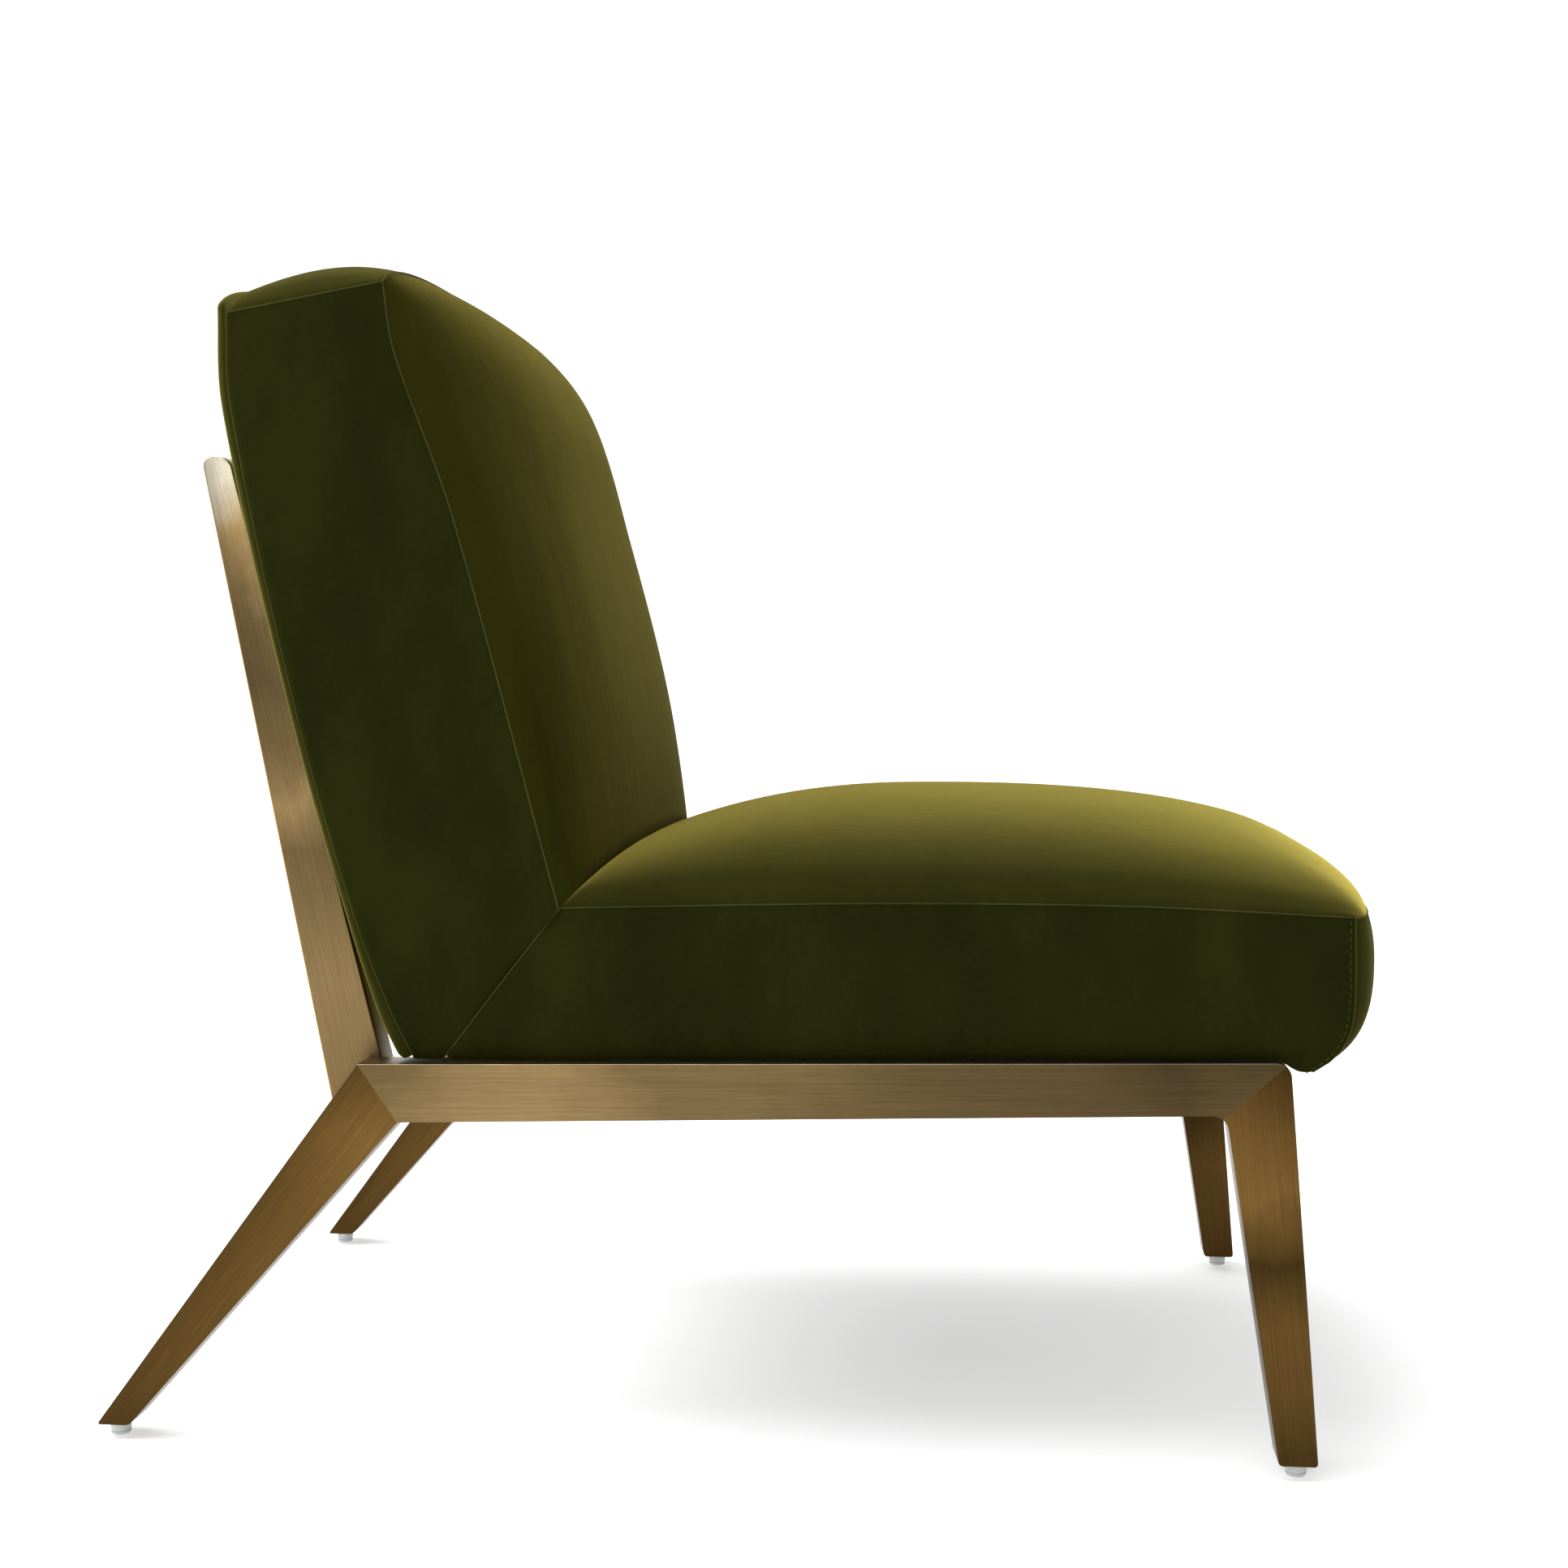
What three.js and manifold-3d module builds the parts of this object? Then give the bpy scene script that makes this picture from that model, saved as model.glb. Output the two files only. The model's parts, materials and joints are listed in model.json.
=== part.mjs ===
// Low armless lounge chair: two welded metal side frames carry an L-shaped upholstered body.
// Millimetres. +Z is up, -Y is the front of the chair, -X is the sitter's right.
import * as THREE from 'three';
import { mergeVertices } from 'three/addons/utils/BufferGeometryUtils.js';
import Module from 'manifold-3d';

const wasm = await Module();
wasm.setup();

// ---- driving dimensions ----
const FRAME_WIDTH = 550; // over the outer faces of the side frames
const BAR = 30; // sideways thickness of legs and rails
const UPRIGHT_BAR = 28; // sideways thickness of the back uprights
const TUBE_WALL = 2;
const GAP = 0.3; // between pieces that touch
const FOOT_Z = 10.5; // height of the leg ends, standing on the glides

// side frame corners, [y, z]
const TOP_FRONT = [-368.5, 277.5];
const TOP_REAR = [256, 266];
const UNDER_FRONT = [-327.5, 242];
const UNDER_REAR = [228.5, 226.5];
const FRONT_FOOT = [-389, -363.5]; // outer and inner y of the leg end
const REAR_FOOT = [444, 421];
const CORNER_RADIUS = 9;

// back upright, [y, z]
const UPRIGHT_LOW_REAR = [282.3, 229];
const UPRIGHT_LOW_FRONT = [238.6, 229];
const UPRIGHT_HIGH_REAR = [369.5, 672.5];
const UPRIGHT_HIGH_FRONT = [349.3, 672.5];

// upholstered body
const SEAM_HALF_WIDTH = 262; // x of the side seams
const SIDE_BULGE = 5;
const SEAT_LIFT = 1.2; // cover above the rails
const COVER = 3; // cloth with its wadding
const MITRE_LOW = [200, 267.7]; // the seat and the back meet in one sloping plane
const MITRE_HIGH = [118, 373];
const FRONT_CROWN = 31; // how far the nose bulges
const NOSE_DROOP = 8.5; // the underside hangs this far in front of the rails
const TOP_PUFF = 13;
const REAR_CROWN = 33; // how far the top of the back rises in the middle
const PANEL_GAP = 1.6; // the closing panel behind the rear seam
const PANEL_PUFF = 6;
const PANEL_HALF_WIDTH = 261.5;

// the seat: its side seam as [y, z] points, its crown over that seam, and its nose
const SEAT_SEAM = [[-416, 372], [-268, 378], [-86, 378], [118, 373]];
const CREST_Y = -40; // where the crown is highest
const CREST = 65; // its height there
const CREST_FALL = 28; // how much lower it is where it meets the back
const NOSE_FACE = -410.5; // y of the nose along its side seam
const NOSE_TUCK = 26.5; // how far its lower edge is drawn in
const NOSE_WIDEST = 0.7; // share of the height at which the nose bulges most
const NOSE_LOW_SHARE = 0.34; // the bulge at the lower edge
const NOSE_TOP_SHARE = 0.78; // the bulge at the upper edge
const NOSE_CROWDING = 0.75; // how strongly the rows crowd towards the nose
const DROOP_START = 2.5; // the underside droops from here in front of the rails
const DROOP_LENGTH = 13;

// the back as [z, y] points: its front at the side seams and in the middle, and its rear seam
const BACK_FRONT = [[373, 118], [636, 189], [750, 230], [796, 237]];
const BACK_MIDDLE = [[410, 89], [520, 104], [655, 137], [755, 165], [803, 203], [818, 234]];
const BACK_SEAM = [[268, 219], [300, 235], [370, 261], [520, 302], [715, 344], [777, 346]];
const PANEL_LOW = 268; // the closing panel's height range
const PANEL_HIGH = 779;
const PANEL_DEPTH = 8; // from the rear seam to the panel's rear face
const PANEL_LOW_DEPTH = 12; // the same at its foot
const PANEL_FOOT = 110;
const PANEL_FLAT = [0.8, 0.5]; // the puff starts at this share of the half width, and how soon it is full
const CROWN_START = 0.84; // share of the height from which the panel's top follows the crown

// hidden timber, webbing and fasteners; "up" is measured along the front of the uprights
const SEAT_TIMBER = { half: 253, front: -386, rear: 160, low: 4, high: 42, width: 40 };
const BACK_TIMBER = { half: 248, low: 150, high: 450, front: -37, rear: -17, width: 40 };
const STRAP_THICKNESS = 1.6;
const SEAT_STRAPS = { count: 5, first: -300, pitch: 85, width: 50 };
const BACK_STRAPS = { count: 4, first: 218, pitch: 55, width: 42 };
const BOLT_RADIUS = 3;
const HEAD_RADIUS = 6;
const HEAD_HEIGHT = 4;
const SEAT_BOLT = { x: 228, ys: [-250, 110], length: 30 };
const BACK_BOLT_UP = [200, 400];
const TAB = { width: 40, thickness: 3 };
const CROSS_RAIL = { depth: 25, height: 22, ys: { front: -318, rear: 165 } };

const BRASS = { color: 0x8c7042, roughness: 0.38, metalness: 1 };
const STEEL = { color: 0x4a4a4c, roughness: 0.5, metalness: 1 };
const PLASTIC = { color: 0xd8dad6, roughness: 0.5, metalness: 0 };
const VELVET = { color: 0x3c4216, roughness: 0.95, metalness: 0 };
const FOAM = { color: 0xe6dcb0, roughness: 1, metalness: 0 };
const TIMBER = { color: 0xb58a58, roughness: 0.8, metalness: 0 };
const STRAP = { color: 0x2d2a28, roughness: 0.9, metalness: 0 };

const chair = new THREE.Group();

// ---- helpers ----
function toSolid(geometry) {
  geometry.deleteAttribute('normal');
  geometry.deleteAttribute('uv');
  const merged = mergeVertices(geometry, 1e-4);
  const vertProperties = new Float32Array(merged.attributes.position.array);
  const triVerts = new Uint32Array(merged.index.array);
  return new wasm.Manifold(new wasm.Mesh({ numProp: 3, vertProperties, triVerts }));
}

function toGeometry(solid) {
  const mesh = solid.getMesh();
  const geometry = new THREE.BufferGeometry();
  geometry.setAttribute('position', new THREE.BufferAttribute(mesh.vertProperties, 3));
  geometry.setIndex(new THREE.BufferAttribute(mesh.triVerts, 1));
  geometry.computeVertexNormals();
  return geometry;
}

function addPiece(name, solid, look, group = chair) {
  const piece = new THREE.Mesh(toGeometry(solid), new THREE.MeshStandardMaterial(look));
  piece.name = name;
  group.add(piece);
}

// a y-z outline pulled across the chair from x0 to x1
function prism(outline, x0, x1) {
  const shape = new THREE.Shape(outline.map(([y, z]) => new THREE.Vector2(y, z)));
  const geometry = new THREE.ExtrudeGeometry(shape, { depth: x1 - x0, bevelEnabled: false });
  const across = new THREE.Matrix4().makeBasis(
    new THREE.Vector3(0, 1, 0), new THREE.Vector3(0, 0, 1), new THREE.Vector3(1, 0, 0));
  geometry.applyMatrix4(across);
  geometry.translate(x0, 0, 0);
  return toSolid(geometry);
}

function block(x0, x1, y0, y1, z0, z1) {
  const geometry = new THREE.BoxGeometry(x1 - x0, y1 - y0, z1 - z0);
  geometry.translate((x0 + x1) / 2, (y0 + y1) / 2, (z0 + z1) / 2);
  return toSolid(geometry);
}

// a turned solid standing on its axis, from [radius, height] points
function turned(points, sides = 16) {
  const outline = points.map(([r, h]) => new THREE.Vector2(r, h));
  const geometry = new THREE.LatheGeometry(outline, sides);
  geometry.rotateX(Math.PI / 2);
  return toSolid(geometry);
}

// a smooth curve through [key, value] points, read at a key
function along(profile, key) {
  const next = profile.findIndex(([k]) => k >= key);
  if (next === 0) return profile[0][1];
  if (next < 0) return profile[profile.length - 1][1];
  const [k0, v0] = profile[next - 1];
  const [k1, v1] = profile[next];
  const before = profile[Math.max(next - 2, 0)];
  const after = profile[Math.min(next + 1, profile.length - 1)];
  const step = k1 - k0;
  const t = (key - k0) / step;
  const slope0 = (v1 - before[1]) / (k1 - before[0]);
  const slope1 = (after[1] - v0) / (after[0] - k0);
  const end = t * t * (3 - 2 * t);
  return mix(v0, v1, end) + step * (slope0 * t * (1 - t) ** 2 - slope1 * t * t * (1 - t));
}

const mix = (a, b, t) => a + (b - a) * t;
const mixPoint = (p, q, t) => [mix(p[0], q[0], t), mix(p[1], q[1], t)];

// round one corner of an outline with an arc
function roundedCorner(before, corner, after, radius, steps = 6) {
  const c = new THREE.Vector2(...corner);
  const a = new THREE.Vector2(...before).sub(c).normalize();
  const b = new THREE.Vector2(...after).sub(c).normalize();
  const half = Math.acos(a.dot(b)) / 2;
  const centre = a.clone().add(b).normalize().multiplyScalar(radius / Math.sin(half)).add(c);
  const start = a.clone().multiplyScalar(radius / Math.tan(half)).add(c).sub(centre);
  const end = b.clone().multiplyScalar(radius / Math.tan(half)).add(c).sub(centre);
  let sweep = end.angle() - start.angle();
  if (sweep > Math.PI) sweep -= 2 * Math.PI;
  if (sweep < -Math.PI) sweep += 2 * Math.PI;
  return Array.from({ length: steps + 1 }, (_, i) => {
    const p = start.clone().rotateAround(new THREE.Vector2(), (sweep * i) / steps).add(centre);
    return [p.x, p.y];
  });
}

// move each edge of a counter-clockwise four-sided outline inwards by its own distance
function inset(corners, distances) {
  const lines = corners.map((p, i) => {
    const q = corners[(i + 1) % 4];
    const length = Math.hypot(q[0] - p[0], q[1] - p[1]);
    const normal = [-(q[1] - p[1]) / length, (q[0] - p[0]) / length];
    return { normal, reach: normal[0] * p[0] + normal[1] * p[1] + distances[i] };
  });
  return lines.map((line, i) => {
    const last = lines[(i + 3) % 4];
    const det = last.normal[0] * line.normal[1] - last.normal[1] * line.normal[0];
    const y = (last.reach * line.normal[1] - line.reach * last.normal[1]) / det;
    const z = (last.normal[0] * line.reach - line.normal[0] * last.reach) / det;
    return [y, z];
  });
}

// ---- metal side frames ----
const railSlope = (TOP_FRONT[1] - TOP_REAR[1]) / (TOP_REAR[0] - TOP_FRONT[0]);
const railTop = (y) => TOP_REAR[1] + (TOP_REAR[0] - y) * railSlope;
const backLean = Math.atan2(
  UPRIGHT_HIGH_FRONT[0] - UPRIGHT_LOW_FRONT[0], UPRIGHT_HIGH_FRONT[1] - UPRIGHT_LOW_FRONT[1]);

// rail, front leg and rear leg as four-sided outlines, counter-clockwise from the top rear corner
const frontFootOuter = [FRONT_FOOT[0], FOOT_Z];
const frontFootInner = [FRONT_FOOT[1], FOOT_Z];
const rearFootOuter = [REAR_FOOT[0], FOOT_Z];
const rearFootInner = [REAR_FOOT[1], FOOT_Z];
const outerArc = roundedCorner(TOP_REAR, TOP_FRONT, frontFootOuter, CORNER_RADIUS);
const innerArc = roundedCorner(UNDER_REAR, UNDER_FRONT, frontFootInner, CORNER_RADIUS);
const halfArc = (outerArc.length - 1) / 2;

function railOutline() {
  const top = outerArc.slice(0, halfArc + 1);
  const under = innerArc.slice(0, halfArc + 1).reverse();
  return [TOP_REAR, ...top, ...under, UNDER_REAR];
}

function frontLegOutline() {
  const outer = outerArc.slice(halfArc);
  const inner = innerArc.slice(halfArc).reverse();
  return [...outer, frontFootOuter, frontFootInner, ...inner];
}

// cut a thin slice away along the line from p to q, so that neighbours do not touch
function kerf(p, q, x0, x1) {
  const reach = Math.hypot(q[0] - p[0], q[1] - p[1]);
  const side = [(-(q[1] - p[1]) / reach) * GAP / 2, ((q[0] - p[0]) / reach) * GAP / 2];
  const far = mixPoint(p, q, 1.5);
  const near = mixPoint(p, q, -0.5);
  return prism([
    [near[0] - side[0], near[1] - side[1]], [far[0] - side[0], far[1] - side[1]],
    [far[0] + side[0], far[1] + side[1]], [near[0] + side[0], near[1] + side[1]],
  ], x0 - 1, x1 + 1);
}

function hollow(outline, cavity, x0, x1) {
  return prism(outline, x0, x1).subtract(prism(cavity, x0 + TUBE_WALL, x1 - TUBE_WALL));
}

function addSideFrame(side, sign) {
  const x0 = sign < 0 ? -FRAME_WIDTH / 2 : FRAME_WIDTH / 2 - BAR;
  const x1 = x0 + BAR;
  const frontKerf = kerf(outerArc[halfArc], innerArc[halfArc], x0, x1);
  const rearKerf = kerf(TOP_REAR, UNDER_REAR, x0, x1);
  const open = -20;

  const railCavity = inset([TOP_REAR, TOP_FRONT, UNDER_FRONT, UNDER_REAR], [TUBE_WALL, open, TUBE_WALL, open]);
  const rail = hollow(railOutline(), railCavity, x0, x1);
  addPiece(`${side}_side_rail`, rail.subtract(frontKerf).subtract(rearKerf), BRASS);

  const frontCorners = [TOP_FRONT, frontFootOuter, frontFootInner, UNDER_FRONT];
  const frontCavity = inset(frontCorners, [TUBE_WALL, TUBE_WALL, TUBE_WALL, open]);
  const frontLeg = hollow(frontLegOutline(), frontCavity, x0, x1).subtract(frontKerf);

  const rearCorners = [TOP_REAR, UNDER_REAR, rearFootInner, rearFootOuter];
  const rearCavity = inset(rearCorners, [open, TUBE_WALL, TUBE_WALL, TUBE_WALL]);
  const rearLeg = hollow(rearCorners, rearCavity, x0, x1).subtract(rearKerf);

  const x = (x0 + x1) / 2;
  const feet = [
    { end: 'front', leg: frontLeg, y: (FRONT_FOOT[0] + FRONT_FOOT[1]) / 2 },
    { end: 'rear', leg: rearLeg, y: (REAR_FOOT[0] + REAR_FOOT[1]) / 2 },
  ];
  for (const { end, leg, y } of feet) {
    const hole = turned([[0, -5], [3.2, -5], [3.2, 5], [0, 5]]).translate([x, y, FOOT_Z]);
    addPiece(`${side}_${end}_leg`, leg.subtract(hole), BRASS);
    const glide = turned([
      [0, 0], [6, 0], [7, 1], [7.3, 5], [7.3, FOOT_Z - GAP], [2.9, FOOT_Z - GAP], [2.9, 13], [0, 13],
    ], 24);
    addPiece(`${side}_${end}_glide`, glide.translate([x, y, 0]), PLASTIC);
  }

  // the upright stands inside the side frame, tapers upwards and ends in a full round
  const ux0 = sign < 0 ? x1 + GAP : x0 - GAP - UPRIGHT_BAR;
  const ux1 = ux0 + UPRIGHT_BAR;
  const topRadius = (UPRIGHT_HIGH_REAR[0] - UPRIGHT_HIGH_FRONT[0]) / 2;
  const topCentre = [UPRIGHT_HIGH_FRONT[0] + topRadius, UPRIGHT_HIGH_FRONT[1]];
  const roundEnd = Array.from({ length: 13 }, (_, i) => {
    const turn = (Math.PI * i) / 12 - backLean;
    return [topCentre[0] + topRadius * Math.cos(turn), topCentre[1] + topRadius * Math.sin(turn)];
  });
  const uprightCorners = [UPRIGHT_LOW_REAR, UPRIGHT_HIGH_REAR, UPRIGHT_HIGH_FRONT, UPRIGHT_LOW_FRONT];
  const uprightCavity = inset(uprightCorners, [TUBE_WALL, TUBE_WALL, TUBE_WALL, open]);
  let upright = hollow([UPRIGHT_LOW_REAR, ...roundEnd, UPRIGHT_LOW_FRONT], uprightCavity, ux0, ux1);
  for (const up of BACK_BOLT_UP) {
    const [y, z] = backSpot(boltHeadSeat(up), up);
    const turnedBolt = boltShape(80, GAP).rotate([90 - THREE.MathUtils.radToDeg(backLean), 0, 0]);
    upright = upright.subtract(turnedBolt.translate([(ux0 + ux1) / 2, y, z]));
  }
  addPiece(`${side}_back_upright`, upright, BRASS);
}

// a place in the leaning back: behind the front of the uprights, and up along them
function backSpot(behind, up) {
  return [
    UPRIGHT_LOW_FRONT[0] + up * Math.sin(backLean) + behind * Math.cos(backLean),
    UPRIGHT_LOW_FRONT[1] + up * Math.cos(backLean) - behind * Math.sin(backLean),
  ];
}

// how far behind the front of the upright its rear face is, less the depth of the bolt head
function boltHeadSeat(up) {
  const [y, z] = backSpot(0, up);
  const share = (z - UPRIGHT_LOW_REAR[1]) / (UPRIGHT_HIGH_REAR[1] - UPRIGHT_LOW_REAR[1]);
  return (mix(UPRIGHT_LOW_REAR[0], UPRIGHT_HIGH_REAR[0], share) - y) * Math.cos(backLean) - HEAD_HEIGHT;
}

// a bolt pointing up with the underside of its head at zero, grown all round by a clearance
function boltShape(length, clearance = 0) {
  const shank = BOLT_RADIUS + clearance;
  const head = HEAD_RADIUS + clearance;
  return turned([
    [0, -HEAD_HEIGHT], [head - 1, -HEAD_HEIGHT], [head, 1 - HEAD_HEIGHT], [head, clearance],
    [shank, clearance], [shank, length + clearance], [0, length + clearance],
  ].map(([r, h]) => [r, h < 0 ? h - clearance * 10 : h]));
}

addSideFrame('right', -1);
addSideFrame('left', 1);

// ---- cross rails between the side frames ----
const innerFace = FRAME_WIDTH / 2 - BAR - GAP;
for (const [end, y] of Object.entries(CROSS_RAIL.ys)) {
  const { depth, height } = CROSS_RAIL;
  const top = railTop(y) - 1;
  const tube = block(-innerFace, innerFace, y, y + depth, top - height, top);
  const bore = block(
    -innerFace - 5, innerFace + 5, y + TUBE_WALL, y + depth - TUBE_WALL,
    top - height + TUBE_WALL, top - TUBE_WALL);
  addPiece(`${end}_cross_rail`, tube.subtract(bore), BRASS);
}

// ---- upholstery: a box of small cells pulled to shape ----
function pillow(cells, place) {
  const geometry = new THREE.BoxGeometry(2, 1, 1, ...cells);
  geometry.translate(0, 0.5, 0.5);
  geometry.deleteAttribute('normal');
  geometry.deleteAttribute('uv');
  const merged = mergeVertices(geometry, 1e-5);
  const spots = merged.attributes.position;
  for (let i = 0; i < spots.count; i += 1) {
    spots.setXYZ(i, ...place(spots.getX(i), spots.getY(i), spots.getZ(i)));
  }
  return toSolid(merged);
}

const MITRE_ROWS = 0.2; // share of the back's rows that lie on the mitre
const dome = (u) => (1 - Math.abs(u) ** 2.6) ** 0.5;
const mitreSlope = (MITRE_HIGH[0] - MITRE_LOW[0]) / (MITRE_HIGH[1] - MITRE_LOW[1]);
const mitreY = (z) => MITRE_LOW[0] + (z - MITRE_LOW[1]) * mitreSlope;
const halfWidth = (w, skin) => SEAM_HALF_WIDTH - skin + SIDE_BULGE * 4 * w * (1 - w);
const clamp = (t) => Math.min(Math.max(t, 0), 1);
const smooth = (t) => clamp(t) ** 2 * (3 - 2 * clamp(t));

// height of the seat's crown: steep at the nose, long and nearly flat, then falling to the back
function seatCrown(y) {
  const forward = clamp((CREST_Y - y) / (CREST_Y - SEAT_SEAM[0][0]));
  const rearward = clamp((y - CREST_Y) / (MITRE_HIGH[0] - CREST_Y));
  return CREST * (1 - forward ** 2.4) ** 0.42 - CREST_FALL * rearward ** 2.7;
}

const noseSeam = (w) => NOSE_FACE + NOSE_TUCK * (1 - w) ** 7;

// share of the nose's bulge at a share of its height
function noseBulge(w) {
  if (w < NOSE_WIDEST) return 1 - (1 - NOSE_LOW_SHARE) * (1 - w / NOSE_WIDEST) ** 2.6;
  return 1 - (1 - NOSE_TOP_SHARE) * ((w - NOSE_WIDEST) / (1 - NOSE_WIDEST)) ** 2;
}

// u across, v from front to rear, w from bottom to top; skin is how far inside the outer face,
// and open is how far the bottom is pulled out of the shell
function seatPlace(skin, open) {
  return (u, even, w) => {
    const v = mix(even, 1 - Math.cos((Math.PI * even) / 2), NOSE_CROWDING);
    const y0 = mix(SEAT_SEAM[0][0], mix(MITRE_LOW[0], MITRE_HIGH[0], w), v);
    const lowY = mix(noseSeam(0), MITRE_LOW[0], v);
    const droop = NOSE_DROOP * smooth((TOP_FRONT[0] - DROOP_START - lowY) / DROOP_LENGTH);
    const low = railTop(lowY) + SEAT_LIFT - droop;
    const high = along(SEAT_SEAM, y0) + seatCrown(y0) * dome(u) - skin;
    const out = w < 0.001 ? open : 0;
    const z = mix(low, high, w) - out;
    const front = noseSeam(w) - FRONT_CROWN * dome(u) * noseBulge(w) + skin + out;
    return [u * halfWidth(w, skin), mix(front, mitreY(z) - GAP / 2 - skin, v), z];
  };
}

// the same for the back, whose lower front lies on the mitre and whose rear is the open side
function backPlace(skin, open) {
  const low = MITRE_LOW[1] + SEAT_LIFT + skin;
  return (u, v, w) => {
    const full = dome(u);
    const rise = (w - MITRE_ROWS) / (1 - MITRE_ROWS);
    let frontZ = mix(low, mix(MITRE_HIGH[1], BACK_MIDDLE[0][0], full), w / MITRE_ROWS);
    let frontY = mitreY(frontZ) + GAP / 2 + skin;
    if (rise > 0.001) {
      const seamZ = mix(BACK_FRONT[0][0], BACK_FRONT.at(-1)[0], rise);
      const middleZ = mix(BACK_MIDDLE[0][0], BACK_MIDDLE.at(-1)[0], rise);
      frontZ = mix(seamZ, middleZ, full);
      frontY = mix(along(BACK_FRONT, seamZ), along(BACK_MIDDLE, middleZ), full) + skin;
    }
    const seamAt = mix(low, BACK_SEAM.at(-1)[0], w);
    const rearZ = seamAt + REAR_CROWN * full * smooth((rise - 0.8) / 0.2);
    const puff = TOP_PUFF * full * 4 * v * (1 - v) * smooth((rise - 0.85) / 0.15);
    const z = mix(frontZ, rearZ, v) + puff - (w > 0.999 ? skin : 0);
    const y = mix(frontY, along(BACK_SEAM, seamAt), v) + (v > 0.999 ? open : 0);
    return [u * halfWidth(clamp(w * 1.2), skin), y, z];
  };
}

// the panel that closes the rear of the back, lying over the rear seam of the cover
function panelPlace(u, v, w) {
  const frontZ = mix(PANEL_LOW + 2, PANEL_HIGH - 6, w);
  const rearZ = mix(PANEL_LOW, PANEL_HIGH, w);
  const depth = mix(PANEL_LOW_DEPTH, PANEL_DEPTH, smooth((rearZ - PANEL_LOW) / PANEL_FOOT));
  const frontY = along(BACK_SEAM, frontZ) + PANEL_GAP;
  const puff = PANEL_PUFF * smooth((PANEL_FLAT[0] - Math.abs(u)) / PANEL_FLAT[1]) * Math.sin(Math.PI * w);
  const crown = REAR_CROWN * dome(u) * smooth((w - CROWN_START) / (1 - CROWN_START));
  return [
    u * PANEL_HALF_WIDTH,
    mix(frontY, along(BACK_SEAM, rearZ) + depth + puff, v),
    mix(frontZ, rearZ, v) + crown,
  ];
}

const seatCells = [12, 14, 6];
const backCells = [12, 4, 20];
const panelCells = [12, 1, 16];
const foamSkin = COVER + GAP;
const seatCover = pillow(seatCells, seatPlace(0, 0)).subtract(pillow(seatCells, seatPlace(COVER, 12)));
const backCover = pillow(backCells, backPlace(0, 0)).subtract(pillow(backCells, backPlace(COVER, 24)));
addPiece('seat_cover', seatCover, VELVET);
addPiece('back_cover', backCover, VELVET);

// ---- seat deck: timber, webbing and lining, level with the rails ----
const seatDeck = new THREE.Group();
seatDeck.position.set(0, 0, railTop(0));
seatDeck.rotation.x = -Math.atan(railSlope);
chair.add(seatDeck);
const tiltDegrees = -THREE.MathUtils.radToDeg(Math.atan(railSlope));
const fromDeck = (solid) => solid.rotate([tiltDegrees, 0, 0]).translate([0, 0, railTop(0)]);

function addSeatDeck() {
  const { half, front, rear, low, high, width } = SEAT_TIMBER;
  const bolt = boltShape(SEAT_BOLT.length);
  const drill = boltShape(SEAT_BOLT.length, GAP);
  let lining = block(-half + 2, half - 2, front + 2, rear - 2, low - 1.6, low - 0.6);
  for (const [side, sign] of [['right', -1], ['left', 1]]) {
    const x = [sign * half, sign * (half - width)].sort((a, b) => a - b);
    let timber = block(x[0], x[1], front, rear, low, high);
    SEAT_BOLT.ys.forEach((y, i) => {
      const headZ = -1 - TAB.thickness - GAP;
      const spot = [sign * SEAT_BOLT.x, y, headZ];
      const end = i === 0 ? 'front' : 'rear';
      timber = timber.subtract(drill.translate(spot));
      lining = lining.subtract(drill.translate(spot));
      const tabX = [sign * innerFace, sign * (innerFace - TAB.width)].sort((a, b) => a - b);
      const tab = block(tabX[0], tabX[1], y - 20, y + 20, -1 - TAB.thickness, -1);
      addPiece(`${side}_${end}_seat_tab`, tab.subtract(drill.translate(spot)), BRASS, seatDeck);
      addPiece(`${side}_${end}_seat_bolt`, bolt.translate(spot), STEEL, seatDeck);
    });
    addPiece(`seat_frame_${side}`, timber, TIMBER, seatDeck);
  }
  const inside = half - width - GAP;
  addPiece('seat_frame_front', block(-inside, inside, front, front + width, low, high), TIMBER, seatDeck);
  addPiece('seat_frame_rear', block(-inside, inside, rear - width, rear, low, high), TIMBER, seatDeck);
  addPiece('seat_lining', lining, STRAP, seatDeck);
  for (let i = 0; i < SEAT_STRAPS.count; i += 1) {
    const y = SEAT_STRAPS.first + i * SEAT_STRAPS.pitch;
    const strap = block(
      -half + 3, half - 3, y, y + SEAT_STRAPS.width, high + GAP, high + GAP + STRAP_THICKNESS);
    addPiece(`seat_webbing_${i + 1}`, strap, STRAP, seatDeck);
  }
  const room = block(-half - 1, half + 1, front - 1, rear + 1, low - 40, high + 2 * GAP + STRAP_THICKNESS);
  const foam = pillow(seatCells, seatPlace(foamSkin, 0)).subtract(fromDeck(room));
  addPiece('seat_foam', foam, FOAM);
}

// ---- back frame: timber and webbing, in line with the uprights ----
const backFrame = new THREE.Group();
backFrame.position.set(0, ...UPRIGHT_LOW_FRONT);
backFrame.rotation.x = -backLean;
chair.add(backFrame);
const leanDegrees = -THREE.MathUtils.radToDeg(backLean);
const fromBack = (solid) => solid.rotate([leanDegrees, 0, 0]).translate([0, ...UPRIGHT_LOW_FRONT]);

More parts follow.
